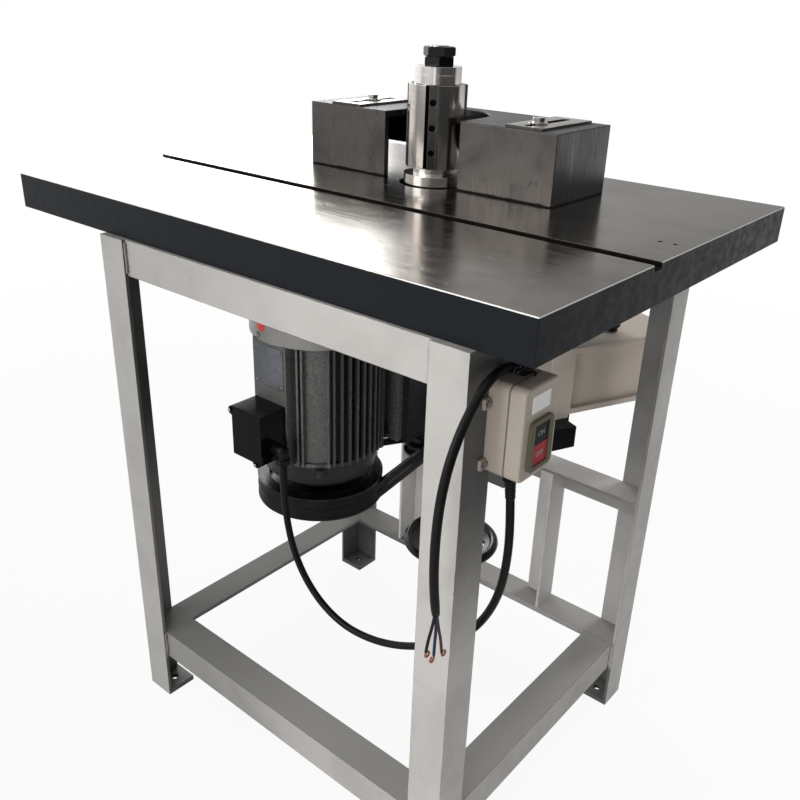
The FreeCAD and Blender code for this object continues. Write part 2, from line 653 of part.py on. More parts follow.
# Carriage
def make_carriage():
    back = SLIDE_FACE
    slide = box(COLUMN_X - SLIDE_HALF, COLUMN_X + SLIDE_HALF, back - SLIDE_THICK, back, CARRIAGE_LOW,
                CARRIAGE_HIGH)
    housing = rod(SPINDLE_X, SPINDLE_Y, HOUSING_LOW, HOUSING_HIGH, HOUSING_R)
    web = box(SPINDLE_X - HOUSING_R, SPINDLE_X + HOUSING_R, SPINDLE_Y, back - 1.0, CARRIAGE_LOW,
              CARRIAGE_HIGH)
    plate_low = FOOT_BOLT_Z[0] - FOOT_END - 2.0
    plate_high = FOOT_BOLT_Z[1] + FOOT_END + 6.0
    plate_left = MOTOR_X - FOOT_HALF - FOOT_W / 2.0 - 3.0
    plate_right = MOTOR_X + FOOT_HALF + FOOT_W / 2.0 + 12.0
    plate_back = FOOT_FACE + MOTOR_PLATE_T
    plate = box(plate_left, plate_right, FOOT_FACE, plate_back, plate_low, plate_high)
    right_web = box(plate_right - NECK_WALL, plate_right, FOOT_FACE, back - SLIDE_THICK + 1.0,
                    plate_low, plate_high)
    web_x = SPINDLE_X - HOUSING_R + 4.0
    left_web = box(web_x, web_x + NECK_WALL, FOOT_FACE, SPINDLE_Y, plate_low, plate_high)
    mid = (plate_low + plate_high) / 2.0
    rib = box(web_x, plate_right, FOOT_FACE, SPINDLE_Y, mid - NECK_WALL / 2.0, mid + NECK_WALL / 2.0)
    lug = box(SCREW_X - NUT_FLANGE_R, SCREW_X + NUT_FLANGE_R, SCREW_Y - NUT_FLANGE_R, back - 1.0,
              NUT_LOW, NUT_HIGH)
    body = fused([slide, housing, web, plate, right_web, left_web, rib, lug])
    body = body.cut(dovetail(SLIDE_GAP, HOUSING_LOW - 5.0, HOUSING_HIGH + 5.0))
    body = body.cut(rod(SPINDLE_X, SPINDLE_Y, HOUSING_LOW - 1.0, HOUSING_HIGH + 1.0, HOUSING_BORE_R))
    seats = [(HOUSING_LOW - 1.0, HOUSING_LOW + BEARING_H), (HOUSING_HIGH - BEARING_H, HOUSING_HIGH + 1.0)]
    for z0, z1 in seats:
        body = body.cut(rod(SPINDLE_X, SPINDLE_Y, z0, z1, BEARING_R))
    body = body.cut(rod(SCREW_X, SCREW_Y, NUT_LOW - 1.0, NUT_HIGH + 1.0, NUT_BODY_R + SCREW_FIT))
    for x, z in foot_bolts():
        body = body.cut(rod_along((x, FOOT_FACE - 1.0, z), (0, 1, 0), MOTOR_PLATE_T + 2.0, FOOT_BOLT_R))
    save("carriage", [body])
    nut = ring(SCREW_X, SCREW_Y, NUT_LOW, NUT_HIGH, NUT_BODY_R, SCREW_R + SCREW_FIT)
    flange = ring(SCREW_X, SCREW_Y, NUT_HIGH, NUT_HIGH + NUT_FLANGE_T, NUT_FLANGE_R - 1.0,
                  SCREW_R + SCREW_FIT)
    save("lift_nut", [fused([nut, flange])])
    low = [HOUSING_LOW, HOUSING_HIGH - BEARING_H]
    bearings = [ring(SPINDLE_X, SPINDLE_Y, z, z + BEARING_H, BEARING_R, SHAFT_R + BEARING_FIT)
                for z in low]
    save("spindle_bearings", bearings)
    caps = [ring(SPINDLE_X, SPINDLE_Y, HOUSING_LOW - CAP_T, HOUSING_LOW, CAP_R, CAP_BORE_R)]
    caps.append(ring(SPINDLE_X, SPINDLE_Y, HOUSING_HIGH, HOUSING_HIGH + CAP_T, CAP_R, CAP_BORE_R))
    save("bearing_caps", caps)


def foot_bolts():
    return [(MOTOR_X + sx * FOOT_HALF, z) for sx in (-1, 1) for z in FOOT_BOLT_Z]


# Spindle
def make_spindle():
    x = SPINDLE_X
    y = SPINDLE_Y
    shaft = turned([(0.0, PULLEY_LOW - 4.0), (TAIL_R, PULLEY_LOW - 4.0), (TAIL_R, PULLEY_HIGH + 6.0),
                    (SHAFT_R, PULLEY_HIGH + 6.0), (SHAFT_R, COLLAR_LOW), (NOSE_R, COLLAR_LOW),
                    (NOSE_R, NOSE_TOP), (0.0, NOSE_TOP)], x, y)
    save("spindle_shaft", [shaft])
    pulley = rod(x, y, PULLEY_LOW, PULLEY_HIGH, SMALL_PULLEY_R)
    pulley = pulley.cut(rod(x, y, PULLEY_LOW - 1.0, PULLEY_HIGH + 1.0, TAIL_R))
    for z in BELT_Z:
        pulley = pulley.cut(groove(x, y, z, SMALL_PULLEY_R))
    save("spindle_pulley", [pulley])
    collar = ring(x, y, COLLAR_LOW, NECK_LOW, COLLAR_R, NOSE_R)
    neck = ring(x, y, NECK_LOW, BLOCK_LOW, NECK_R, NOSE_R)
    z = BLOCK_HIGH
    rings = [fused([collar, neck])]
    for h in SPACER_H:
        rings.append(ring(x, y, z, z + h, SPACER_R, NOSE_R))
        z += h
    save("spindle_collars", rings)
    nuts = []
    for i in range(2):
        z0 = NUTS_LOW + i * (NUT_H + NUT_GAP)
        nut = hexagon(x, y, z0, z0 + NUT_H, NUT_AF, 8.0 + 17.0 * i)
        chamfer = turned([(0.0, z0), (NUT_AF * 0.52, z0), (NUT_AF * 0.6, z0 + 2.0),
                          (NUT_AF * 0.6, z0 + NUT_H - 2.0),
                          (NUT_AF * 0.52, z0 + NUT_H), (0.0, z0 + NUT_H)], x, y)
        nuts.append(nut.common(chamfer).cut(rod(x, y, z0 - 1.0, z0 + NUT_H + 1.0, NOSE_R)))
    skirt = ring(x, y, NUTS_LOW + NUT_H, NUTS_LOW + NUT_H + NUT_GAP, NUT_AF * 0.45, NOSE_R)
    save("lock_nuts", [nuts[0], fused([nuts[1], skirt])])


def knife_parts(turn):
    """Slot cutter, gib, knife and screws of one knife position, turned about the spindle."""
    x = SPINDLE_X
    y = SPINDLE_Y
    root = BLOCK_R - GIB_DEEP
    gib_top = BLOCK_R - GIB_SUNK
    slot = box(x + root, x + BLOCK_R + 5.0, y - GIB_W, y + KNIFE_T, BLOCK_LOW - 1.0, BLOCK_HIGH + 1.0)
    gib = box(x + root, x + gib_top, y - GIB_W, y, BLOCK_LOW, BLOCK_HIGH)
    knife = box(x + root, x + BLOCK_R + KNIFE_PROUD, y, y + KNIFE_T, BLOCK_LOW, BLOCK_HIGH)
    screws = []
    for i in range(3):
        z = BLOCK_LOW + BLOCK_H * (0.2 + 0.3 * i)
        at = (x + gib_top - GIB_SCREW_H, y - GIB_W / 2.0, z)
        gib = gib.cut(rod_along(at, (1, 0, 0), GIB_SCREW_H + 1.0, GIB_SCREW_R))
        screws.append(rod_along(at, (1, 0, 0), GIB_SCREW_H * 0.45, GIB_SCREW_R))
    gullet = box(x + BLOCK_R - GULLET_DEEP, x + BLOCK_R + 5.0, y - GIB_W - GULLET_W, y - GIB_W + 1.0,
                 BLOCK_LOW - 1.0, BLOCK_HIGH + 1.0)
    made = [slot.fuse(gullet), gib, knife] + screws
    for s in made:
        s.rotate(vec(x, y), UP, turn)
    return made


def make_cutter():
    block = ring(SPINDLE_X, SPINDLE_Y, BLOCK_LOW, BLOCK_HIGH, BLOCK_R, NOSE_R)
    gibs = []
    knives = []
    screws = []
    for i in range(KNIFE_COUNT):
        made = knife_parts(-52.0 + 360.0 * i / KNIFE_COUNT)
        block = block.cut(made[0])
        gibs.append(made[1])
        knives.append(made[2])
        screws += made[3:]
    save("cutter_block", [block])
    save("cutter_gibs", gibs)
    save("cutter_knives", knives)
    save("cutter_screws", screws)


# Pulleys and belts
def groove(x, y, z, outer):
    """Ring cutter that leaves a belt groove with running room in a pulley."""
    root = outer - BELT_H - BELT_SUNK - 1.0
    slope = (BELT_TOP_HALF - BELT_ROOT_HALF) / BELT_H
    rim = BELT_TOP_HALF + BELT_GAP + slope * (BELT_SUNK + 1.0)
    floor = BELT_ROOT_HALF + BELT_GAP - slope
    return turned([(root, z - floor), (outer + 1.0, z - rim), (outer + 1.0, z + rim),
                   (root, z + floor)], x, y)


def belt(z):
    """Closed V-belt round both pulleys from two turned arcs and two straight runs."""
    big = BIG_PULLEY_R - BELT_SUNK
    small = SMALL_PULLEY_R - BELT_SUNK
    dx = SPINDLE_X - MOTOR_X
    dy = SPINDLE_Y - MOTOR_Y
    span = math.hypot(dx, dy)
    along = math.degrees(math.atan2(dy, dx))
    lean = math.degrees(math.acos((big - small) / span))
    pieces = []

    def section(cx, cy, outer, angle):
        a = math.radians(angle)
        pts = []
        for r, h in ((outer - BELT_H, -BELT_ROOT_HALF), (outer, -BELT_TOP_HALF), (outer, BELT_TOP_HALF),
                     (outer - BELT_H, BELT_ROOT_HALF)):
            pts.append(vec(cx + r * math.cos(a), cy + r * math.sin(a), z + h))
        return Part.Face(Part.makePolygon(pts + pts[:1]))

    wrap_big = 360.0 - 2.0 * lean
    wrap_small = 2.0 * lean
    pieces.append(section(MOTOR_X, MOTOR_Y, big, along + lean).revolve(vec(MOTOR_X, MOTOR_Y), UP,
                                                                       wrap_big))
    pieces.append(section(SPINDLE_X, SPINDLE_Y, small, along - lean).revolve(vec(SPINDLE_X, SPINDLE_Y),
                                                                             UP, wrap_small))
    for side in (-1, 1):
        a = math.radians(along + side * lean)
        step = vec(dx + (small - big) * math.cos(a), dy + (small - big) * math.sin(a))
        pieces.append(section(MOTOR_X, MOTOR_Y, big, along + side * lean).extrude(step))
    length = 2.0 * span * math.sin(math.radians(lean))
    length += math.radians(wrap_big) * big + math.radians(wrap_small) * small
    print("belt outside length", round(length))
    return fused(pieces)


def make_belts():
    save("drive_belts", [belt(z) for z in BELT_Z])
    pulley = rod(MOTOR_X, MOTOR_Y, PULLEY_LOW, PULLEY_HIGH, BIG_PULLEY_R)
    pulley = pulley.cut(rod(MOTOR_X, MOTOR_Y, PULLEY_LOW - 1.0, PULLEY_HIGH + 1.0, MOTOR_SHAFT_R))
    for z in BELT_Z:
        pulley = pulley.cut(groove(MOTOR_X, MOTOR_Y, z, BIG_PULLEY_R))
    dish = ring(MOTOR_X, MOTOR_Y, PULLEY_HIGH - 10.0, PULLEY_HIGH + 1.0, BIG_PULLEY_R - 18.0, 32.0)
    under = ring(MOTOR_X, MOTOR_Y, PULLEY_LOW - 1.0, PULLEY_LOW + 14.0, BIG_PULLEY_R - 18.0, 32.0)
    save("motor_pulley", [pulley.cut(dish).cut(under)])


# Motor
def fin(angle):
    shape = box(MOTOR_X + MOTOR_R - 3.0, MOTOR_X + FIN_R, MOTOR_Y - FIN_T / 2.0, MOTOR_Y + FIN_T / 2.0,
                MOTOR_LOW + 4.0, MOTOR_HIGH - 2.0)
    shape.rotate(vec(MOTOR_X, MOTOR_Y), UP, angle)
    return shape


def make_motor_frame():
    body = rod(MOTOR_X, MOTOR_Y, MOTOR_LOW, MOTOR_HIGH, MOTOR_R)
    rims = [ring(MOTOR_X, MOTOR_Y, z, z + 6.0, SHIELD_R, MOTOR_R - 2.0)
            for z in (MOTOR_LOW, MOTOR_HIGH - 6.0)]
    front = MOTOR_Y - PANEL_OUT
    panel = box(MOTOR_X - PANEL_HALF, MOTOR_X + PANEL_HALF, front, MOTOR_Y, MOTOR_LOW + 4.0, MOTOR_HIGH)
    fins = [fin(a) for a in (296.0, 300.0, 322.0, 327.0)]
    fins += [fin(334.0 + 7.5 * i) for i in range(10)]
    fins += [fin(200.0 - 7.5 * i) for i in range(10)]
    fins += [fin(a) for a in (213.0, 218.0, 240.0, 244.0)]
    feet = []
    for sx in (-1, 1):
        x = MOTOR_X + sx * FOOT_HALF
        pad = (FOOT_BOLT_Z[0] - FOOT_END, FOOT_BOLT_Z[1] + FOOT_END)
        feet.append(box(x - FOOT_W / 2.0, x + FOOT_W / 2.0, FOOT_FACE - FOOT_T, FOOT_FACE, pad[0],
                        pad[1]))
        xs = sorted((MOTOR_X + sx * FOOT_WEB_AT, MOTOR_X + sx * (FOOT_WEB_AT + FOOT_WEB_T)))
        feet.append(box(xs[0], xs[1], MOTOR_Y + 40.0, FOOT_FACE, pad[0] + 4.0, pad[1]))
    frame = fused([body, panel] + rims + fins + feet)
    frame = frame.cut(rod(MOTOR_X, MOTOR_Y, MOTOR_LOW - 10.0, MOTOR_HIGH + 10.0, STATOR_R))
    for x, z in foot_bolts():
        frame = frame.cut(rod_along((x, FOOT_FACE - FOOT_T - 1.0, z), (0, 1, 0), FOOT_T + 2.0,
                                    FOOT_BOLT_R))
    save("motor_frame", [frame])
    bolts = []
    for x, z in foot_bolts():
        seat = FOOT_FACE - FOOT_T
        head = hexagon(0.0, 0.0, 0.0, BOLT_HEAD, BOLT_AF)
        head.rotate(vec(0, 0, 0), vec(1, 0, 0), 90.0)
        head.translate(vec(x, seat, z))
        shank = rod_along((x, seat - 1.0, z), (0, 1, 0), FOOT_T + 13.0, FOOT_BOLT_R)
        bolts.append(fused([head, shank]))
    save("motor_bolts", bolts)


def make_motor_ends():
    x = MOTOR_X
    y = MOTOR_Y
    low = MOTOR_LOW - SHIELD_H
    seat_low = low + 6.0
    shield = turned([(MOTOR_SHAFT_R + 1.5, low), (SHIELD_LOW_R - 8.0, low), (SHIELD_LOW_R, low + 8.0),
                     (SHIELD_R, MOTOR_LOW - 6.0), (SHIELD_R, MOTOR_LOW), (SHIELD_R - 12.0, MOTOR_LOW),
                     (SHIELD_LOW_R - 14.0, low + 14.0), (MOTOR_BEARING_R + 6.0, low + 14.0),
                     (MOTOR_BEARING_R + 6.0,
                      seat_low + MOTOR_BEARING_H), (MOTOR_BEARING_R, seat_low + MOTOR_BEARING_H),
                     (MOTOR_BEARING_R, seat_low), (MOTOR_SHAFT_R + 1.5, seat_low)], x, y)
    ears = []
    for i in range(4):
        a = math.radians(45.0 + 90.0 * i)
        ear = rod(x + (SHIELD_R + 1.0) * math.cos(a), y + (SHIELD_R + 1.0) * math.sin(a),
                  MOTOR_LOW - 12.0, MOTOR_LOW, 8.0)
        ears.append(ear.cut(rod(x, y, MOTOR_LOW - 20.0, MOTOR_LOW + 1.0, SHIELD_R - 8.0)))
    top = MOTOR_HIGH + TOP_SHIELD_H
    seat = MOTOR_HIGH - 6.0
    upper = turned([(MOTOR_SHAFT_R + 1.5, top), (SHIELD_R, top), (SHIELD_R, MOTOR_HIGH),
                    (MOTOR_BEARING_R + 6.0, MOTOR_HIGH),
                    (MOTOR_BEARING_R + 6.0,
                     seat), (MOTOR_BEARING_R, seat), (MOTOR_BEARING_R, seat + MOTOR_BEARING_H),
                    (MOTOR_SHAFT_R + 1.5, seat + MOTOR_BEARING_H)], x, y)
    save("motor_end_shields", [fused([shield] + ears), upper])
    places = (seat_low, seat)
    bore = MOTOR_SHAFT_R + BEARING_FIT
    save("motor_bearings", [ring(x, y, z, z + MOTOR_BEARING_H, MOTOR_BEARING_R, bore) for z in places])
    save("stator", [ring(x, y, STATOR_LOW, STATOR_HIGH, STATOR_R, STATOR_BORE_R)])
    tip = top + FAN_H + 6.0
    shaft = rod(x, y, PULLEY_LOW - 3.0, tip, MOTOR_SHAFT_R)
    core = rod(x, y, STATOR_LOW + 5.0, STATOR_HIGH - 5.0, STATOR_BORE_R - AIR_GAP)
    save("rotor_shaft", [fused([shaft, core])])
    cover_top = MOTOR_HIGH + COVER_H
    r = COVER_R
    w = COVER_WALL
    cover = turned([(r - w, MOTOR_HIGH), (r, MOTOR_HIGH), (r, cover_top - COVER_DOME),
                    (r - 16.0, cover_top),
                    (0.0, cover_top), (0.0, cover_top - w), (r - 17.0, cover_top - w),
                    (r - w, cover_top - COVER_DOME - 1.0)], x, y)
    seat_ring = ring(x, y, MOTOR_HIGH, MOTOR_HIGH + 5.0, r - w + 0.5, SHIELD_R)
    cover = fused([cover, seat_ring])
    for i in range(12):
        slot = box(x + 26.0, x + 78.0, y - 3.0, y + 3.0, cover_top - 6.0, cover_top + 1.0)
        slot.rotate(vec(x, y), UP, 30.0 * i)
        cover = cover.cut(slot)
    save("fan_cover", [cover])
    fan_low = top + 3.0
    hub = ring(x, y, fan_low, fan_low + FAN_H, 26.0, MOTOR_SHAFT_R)
    disc = ring(x, y, fan_low, fan_low + 4.0, FAN_R - 6.0, MOTOR_SHAFT_R)
    blades = []
    for i in range(FAN_BLADES):
        blade = box(x + 20.0, x + FAN_R, y - FAN_BLADE_T / 2.0, y + FAN_BLADE_T / 2.0, fan_low,
                    fan_low + FAN_H - 4.0)
        blade.rotate(vec(x, y), UP, 360.0 * i / FAN_BLADES)
        blades.append(blade)
    fan = fused([hub, disc] + blades)
    save("cooling_fan", [fan.cut(rod(x, y, fan_low - 1.0, fan_low + FAN_H + 1.0, MOTOR_SHAFT_R))])


def make_terminal_box():
    back = MOTOR_Y - PANEL_OUT
    front = back - TBOX_DEEP
    x0 = MOTOR_X - TBOX_HALF
    x1 = MOTOR_X + TBOX_HALF
    shell = box(x0, x1, front, back, TBOX_LOW, TBOX_HIGH)
    w = TBOX_WALL
    shell = shell.cut(box(x0 + w, x1 - w, front - 1.0, back - w, TBOX_LOW + w, TBOX_HIGH - w))
    gland_y = MOTOR_CABLE[0][1]
    gland_z = MOTOR_CABLE[0][2] + GLAND_DROP
    shell = shell.cut(rod_along((x1 - w - 1.0, gland_y, gland_z), (1, 0, 0), w + 2.0, GLAND_R - 2.0))
    save("terminal_box", [shell])
    lid = box(x0, x1, front - TLID_T, front, TBOX_LOW, TBOX_HIGH)
    for x, z in ((x0, TBOX_HIGH - 8.0), (x1 - 12.0, TBOX_LOW)):
        lid = lid.fuse(rod_along((x, front - TLID_T, z), (0, 1, 0), TLID_T, TLID_EAR_R))
    screws = [rod_along((x, front - TLID_T - 2.0, z), (0, 1, 0), TLID_T, 3.0)
              for x, z in ((x0 - 2.0, TBOX_HIGH - 7.0), (x1 - 12.0, TBOX_LOW - 2.0))]
    save("terminal_lid", [fused([lid.removeSplitter()] + screws)])
    end_x = MOTOR_CABLE[0][0]
    end_z = MOTOR_CABLE[0][2] + GLAND_CLEAR
    inlet = rod_along((x1 - w, gland_y, gland_z), (1, 0, 0), end_x - x1 + w, GLAND_R - 2.0)
    body = rod_along((x1, gland_y, gland_z), (1, 0, 0), end_x - x1, GLAND_R)
    elbow = Part.makeSphere(GLAND_R, vec(end_x, gland_y, gland_z))
    drop = rod(end_x, gland_y, end_z, gland_z, GLAND_R - 1.0)
    nut = hexagon(end_x, gland_y, end_z, end_z + 9.0, 2.0 * GLAND_R)
    save("terminal_gland", [fused([inlet, body, elbow, drop, nut])])
    plate = box(MOTOR_X - PLATE_HALF, MOTOR_X + PLATE_HALF, back - PLATE_T, back, PLATE_LOW, PLATE_HIGH)
    save("nameplate", [plate])


# Switch
def cord_gland():
    """Slanting gland through the top of the switch base, square to the supply cord's start."""
    start = vec(*SUPPLY_CORD[0])
    into = (start - vec(*SUPPLY_CORD[1])).normalize()
    return Part.makeCylinder(CORD_GLAND_R, CORD_GLAND_LENGTH, start, into)


def make_switch():
    y0 = SWITCH_Y0
    y1 = SWITCH_Y1
    w = SWITCH_WALL
    along_x = lambda e: abs(e.tangentAt(e.FirstParameter).x) > 0.99
    base = rounded(box(SWITCH_X, SWITCH_SEAM, y0, y1, SWITCH_LOW, SWITCH_HIGH), SWITCH_ROUND, along_x)
    base = base.cut(box(SWITCH_X + w, SWITCH_SEAM + 1.0, y0 + w, y1 - w, SWITCH_LOW + w, SWITCH_HIGH - w))
    ears = [box(SWITCH_X, SWITCH_X + 4.0, y0 - SWITCH_EAR, y0 + 8.0, z, z + 12.0) for z in
            (SWITCH_LOW + 6.0, SWITCH_HIGH - 30.0)]
    base = fused([base] + ears)
    screw_at = [(y0 - SWITCH_EAR / 2.0, SWITCH_LOW + 12.0), (y0 - SWITCH_EAR / 2.0, SWITCH_HIGH - 24.0)]
    for y, z in screw_at:
        base = base.cut(rod_along((SWITCH_X - 1.0, y, z), (1, 0, 0), 10.0, 2.2))
    low_at = (MOTOR_CABLE[-1][0], MOTOR_CABLE[-1][1])
    top_gland = cord_gland()
    base = base.cut(rod(low_at[0], low_at[1], SWITCH_LOW - 1.0, SWITCH_LOW + w + 1.0, 6.5))
    save("switch_base", [base.cut(top_gland)])
    cover = rounded(box(SWITCH_SEAM, SWITCH_FACE, y0, y1, SWITCH_LOW, SWITCH_HIGH), SWITCH_ROUND, along_x)
    outer_edges = lambda e: e.CenterOfMass.x > SWITCH_FACE - 0.01
    cover = rounded(cover, 3.0, outer_edges)
    cover = cover.cut(box(SWITCH_SEAM - 1.0, SWITCH_FACE - w, y0 + w, y1 - w, SWITCH_LOW + w,
                          SWITCH_HIGH - w))
    in_y = (BEZEL_Y0 + BEZEL_RIM, BEZEL_Y0 + BEZEL_W - BEZEL_RIM)
    in_z = (BEZEL_Z0 + BEZEL_RIM - 2.0, BEZEL_Z0 + BEZEL_H - BEZEL_RIM + 2.0)
    window = box(SWITCH_SEAM, SWITCH_FACE + 20.0, in_y[0], in_y[1], in_z[0], in_z[1])
    save("switch_cover", [cover.cut(window)])
    bezel = box(SWITCH_FACE, SWITCH_FACE + BEZEL_T, BEZEL_Y0, BEZEL_Y0 + BEZEL_W, BEZEL_Z0,
                BEZEL_Z0 + BEZEL_H)
    bezel = rounded(bezel, 7.0, along_x)
    save("switch_bezel", [bezel.cut(window)])
    mid = (in_z[0] + in_z[1]) / 2.0
    g = BUTTON_GAP
    bx = (SWITCH_FACE + BEZEL_T - BUTTON_SUNK - BUTTON_DEEP, SWITCH_FACE + BEZEL_T - BUTTON_SUNK)
    save("on_button", [box(bx[0], bx[1], in_y[0] + g, in_y[1] - g, mid + g / 2.0, in_z[1] - g)])
    save("off_button", [box(bx[0], bx[1], in_y[0] + g, in_y[1] - g, in_z[0] + g, mid - g / 2.0)])
    back = bx[0] - BUTTON_TRAVEL - CONTACT_GAP
    block = box(SWITCH_X + w, back, y0 + 12.0, y1 - 12.0, SWITCH_LOW + 14.0, SWITCH_HIGH - 26.0)
    save("contact_block", [block])
    screws = []
    for y, z in screw_at:
        head = rod_along((SWITCH_X + 4.0, y, z), (1, 0, 0), 2.5, 4.0)
        screws.append(fused([head, rod_along((SWITCH_X, y, z), (1, 0, 0), 5.0, 2.2)]))
    save("switch_screws", screws)
    end_z = MOTOR_CABLE[-1][2]
    low = fused([rod(low_at[0], low_at[1], end_z, SWITCH_LOW + w, 6.5),
                 hexagon(low_at[0], low_at[1], end_z, SWITCH_LOW, 16.0)])
    save("switch_glands", [low, top_gland])


# Cords
def cord(points, radius, name):
    """Round tube along straight runs joined by tangent arcs."""
    pts = [vec(*p) for p in points]
    edges = []
    start = pts[0]
    length = 0.0
    tightest = 1.0e9
    for a, b, c in zip(pts, pts[1:], pts[2:]):
        into = (b - a).normalize()
        out = (c - b).normalize()
        half = into.getAngle(out) / 2.0
        reach = 0.45 * min((b - a).Length, (c - b).Length)
        bend = reach / math.tan(half)
        tightest = min(tightest, bend)
        p = b - into * reach
        q = b + out * reach
        mid = b + (out - into).normalize() * (bend / math.cos(half) - bend)
        edges.append(Part.LineSegment(start, p).toShape())
        edges.append(Part.Arc(p, mid, q).toShape())
        length += (p - start).Length + 2.0 * half * bend
        start = q
    edges.append(Part.LineSegment(start, pts[-1]).toShape())
    length += (pts[-1] - start).Length
    path = Part.Wire(edges)
    ring_at = Part.Wire([Part.Circle(pts[0], pts[1] - pts[0], radius).toShape()])
    tube = path.makePipeShell([ring_at], True, False)
    print(name, "length", round(length, 1), "tightest radius", round(tightest, 1), "volume share",
          round(tube.Volume / (math.pi * radius * radius * length), 3))
    return tube


def make_cords():
    save("motor_cable", [cord(MOTOR_CABLE, CORD_R, "motor_cable")])
    save("supply_cord", [cord(SUPPLY_CORD, CORD_R, "supply_cord")])
    save("supply_cores", [cord(p, CORE_R, "core") for p in CORES])
    ends = []
    for p in CORES:
        step = (vec(*p[-1]) - vec(*p[-2])).normalize()
        ends.append(Part.makeCylinder(COPPER_R, COPPER_LENGTH, vec(*p[-1]), step))
    save("copper_ends", ends)


# Box behind the frame
def box_uv(u0, u1, v0, v1, z0, z1):
    """Box in the turned box frame: u runs along its face, v out of the face."""
    shape = box(u0, u1, v0, v1, z0, z1)
    shape.rotate(vec(0, 0), UP, 90.0 - BOX_TURN)
    shape.translate(vec(BOX_EDGE_X, BOX_EDGE_Y))
    return shape


def make_box():
    # In this frame the face looks towards -v before turning, so v is mirrored here
    deep = BOX_DEEP
    shell = box_uv(-BOX_STILE, BOX_REACH, 0.0, deep, BOX_LOW, BOX_HIGH)
    recess = box_uv(0.0, BOX_REACH - BOX_LIP, -1.0, BOX_RECESS, BOX_LOW + BOX_LIP, BOX_HIGH - BOX_LIP)
    s = BOX_SHEET
    hollow = box_uv(-BOX_STILE + s, BOX_REACH - s, BOX_RECESS + s, deep - s, BOX_LOW + s, BOX_HIGH - s)
    stile_foot = box_uv(-BOX_STILE, -3.0, 0.0, 12.0, BOX_LOW - BOX_STILE_DROP, BOX_LOW)
    save("rear_box", [fused([shell.cut(recess).cut(hollow), stile_foot])])
    top = BOX_LOW - BOX_STILE_DROP
    low = top - MOUNT_H
    arm = box_uv(-MOUNT_END - MOUNT_LENGTH, -MOUNT_END, -MOUNT_OUT, MOUNT_UNDER, low, top)
    tail_low = top - MOUNT_TAIL_T
    tail = box_uv(MOUNT_TAIL[0], MOUNT_TAIL[1], MOUNT_UNDER - 1.0, MOUNT_TAIL_END, tail_low, top)
    foot = box_uv(MOUNT_TAIL[1] - MOUNT_FOOT, MOUNT_TAIL[1], MOUNT_TAIL_END - MOUNT_FOOT, MOUNT_TAIL_END,
                  MID_RAIL_TOP, tail_low + 1.0)
    save("box_mount", [fused([arm, tail, foot])])
    knob = rod(0.0, 0.0, BOX_HIGH, BOX_HIGH + KNOB_H, KNOB_R)
    knob = fused([knob, Part.makeTorus(KNOB_R, 3.5, vec(0, 0, BOX_HIGH + KNOB_H - 3.5), UP)])
    knob.translate(vec(KNOB_U, -KNOB_V))
    knob.rotate(vec(0, 0), UP, 90.0 - BOX_TURN)
    knob.translate(vec(BOX_EDGE_X, BOX_EDGE_Y))
    save("box_knob", [knob])


os.makedirs("parts", exist_ok=True)
make_frame()
make_table()
make_fence()
make_column()
make_lift_screw()
make_carriage()
make_spindle()
make_cutter()
make_belts()
make_motor_frame()
make_motor_ends()
make_terminal_box()
make_switch()
make_cords()
make_box()
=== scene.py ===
"""Spindle moulder: finishes, cords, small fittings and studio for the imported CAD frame, in metres."""
import logging
import math
from dataclasses import dataclass, replace
from enum import Enum
from typing import Callable, Optional, Sequence, Union

import bpy
import numpy as np
from mathutils import Matrix


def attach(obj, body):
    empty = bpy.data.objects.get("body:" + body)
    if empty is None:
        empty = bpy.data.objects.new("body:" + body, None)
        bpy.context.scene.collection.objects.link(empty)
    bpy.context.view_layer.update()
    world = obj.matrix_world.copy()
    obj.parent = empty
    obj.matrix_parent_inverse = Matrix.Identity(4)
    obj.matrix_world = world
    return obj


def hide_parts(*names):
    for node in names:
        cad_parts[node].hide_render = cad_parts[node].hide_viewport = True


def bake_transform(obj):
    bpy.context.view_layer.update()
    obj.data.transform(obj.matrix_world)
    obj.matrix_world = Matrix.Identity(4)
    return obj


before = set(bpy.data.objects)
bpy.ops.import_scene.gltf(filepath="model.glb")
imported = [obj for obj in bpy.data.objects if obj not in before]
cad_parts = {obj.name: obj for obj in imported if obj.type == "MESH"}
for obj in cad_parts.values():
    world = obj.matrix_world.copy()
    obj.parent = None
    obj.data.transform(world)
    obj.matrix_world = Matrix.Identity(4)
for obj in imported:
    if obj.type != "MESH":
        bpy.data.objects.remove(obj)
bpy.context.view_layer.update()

log = logging.getLogger("spindle_moulder")

Array = np.ndarray
Colour = tuple[float, float, float]
Point = tuple[float, float, float]
Pair = tuple[float, float]
Piece = bpy.types.Object
Node = bpy.types.Node
Socket = bpy.types.NodeSocket
Value = Union[float, tuple, Socket]
Tint = Union[Colour, Socket]

FULL_TURN = 2.0 * np.pi
RIGHT = np.array([1.0, 0.0, 0.0])
BACK = np.array([0.0, 1.0, 0.0])
UP = np.array([0.0, 0.0, 1.0])
TO_FRONT = (0.0, -1.0, 0.0)
LEVEL = (1.0, 1.0, 0.0)
WHITE = (1.0, 1.0, 1.0, 1.0)

SPINDLE_AXIS = (0.007, 0.089, 0.0)
MOTOR_AXIS = (-0.031, -0.1195, 0.0)
SCREW_AXIS = (0.088, 0.0795, 0.0)


# Colours


def srgb(red: int, green: int, blue: int) -> Colour:
    """Turns a colour of 0 to 255 per channel into linear values.

    Args:
        red, green, blue: display values.
    Returns:
        The linear colour.
    """
    shown = np.array([red, green, blue]) / 255.0
    linear = np.where(shown <= 0.04045, shown / 12.92, ((shown + 0.055) / 1.055) ** 2.4)
    return tuple(float(c) for c in linear)


def scaled(colour: Colour, factor: float, lift: float = 0.0) -> Colour:
    """Scales and lifts a linear colour, up to white."""
    return tuple(min(1.0, c * factor + lift) for c in colour)


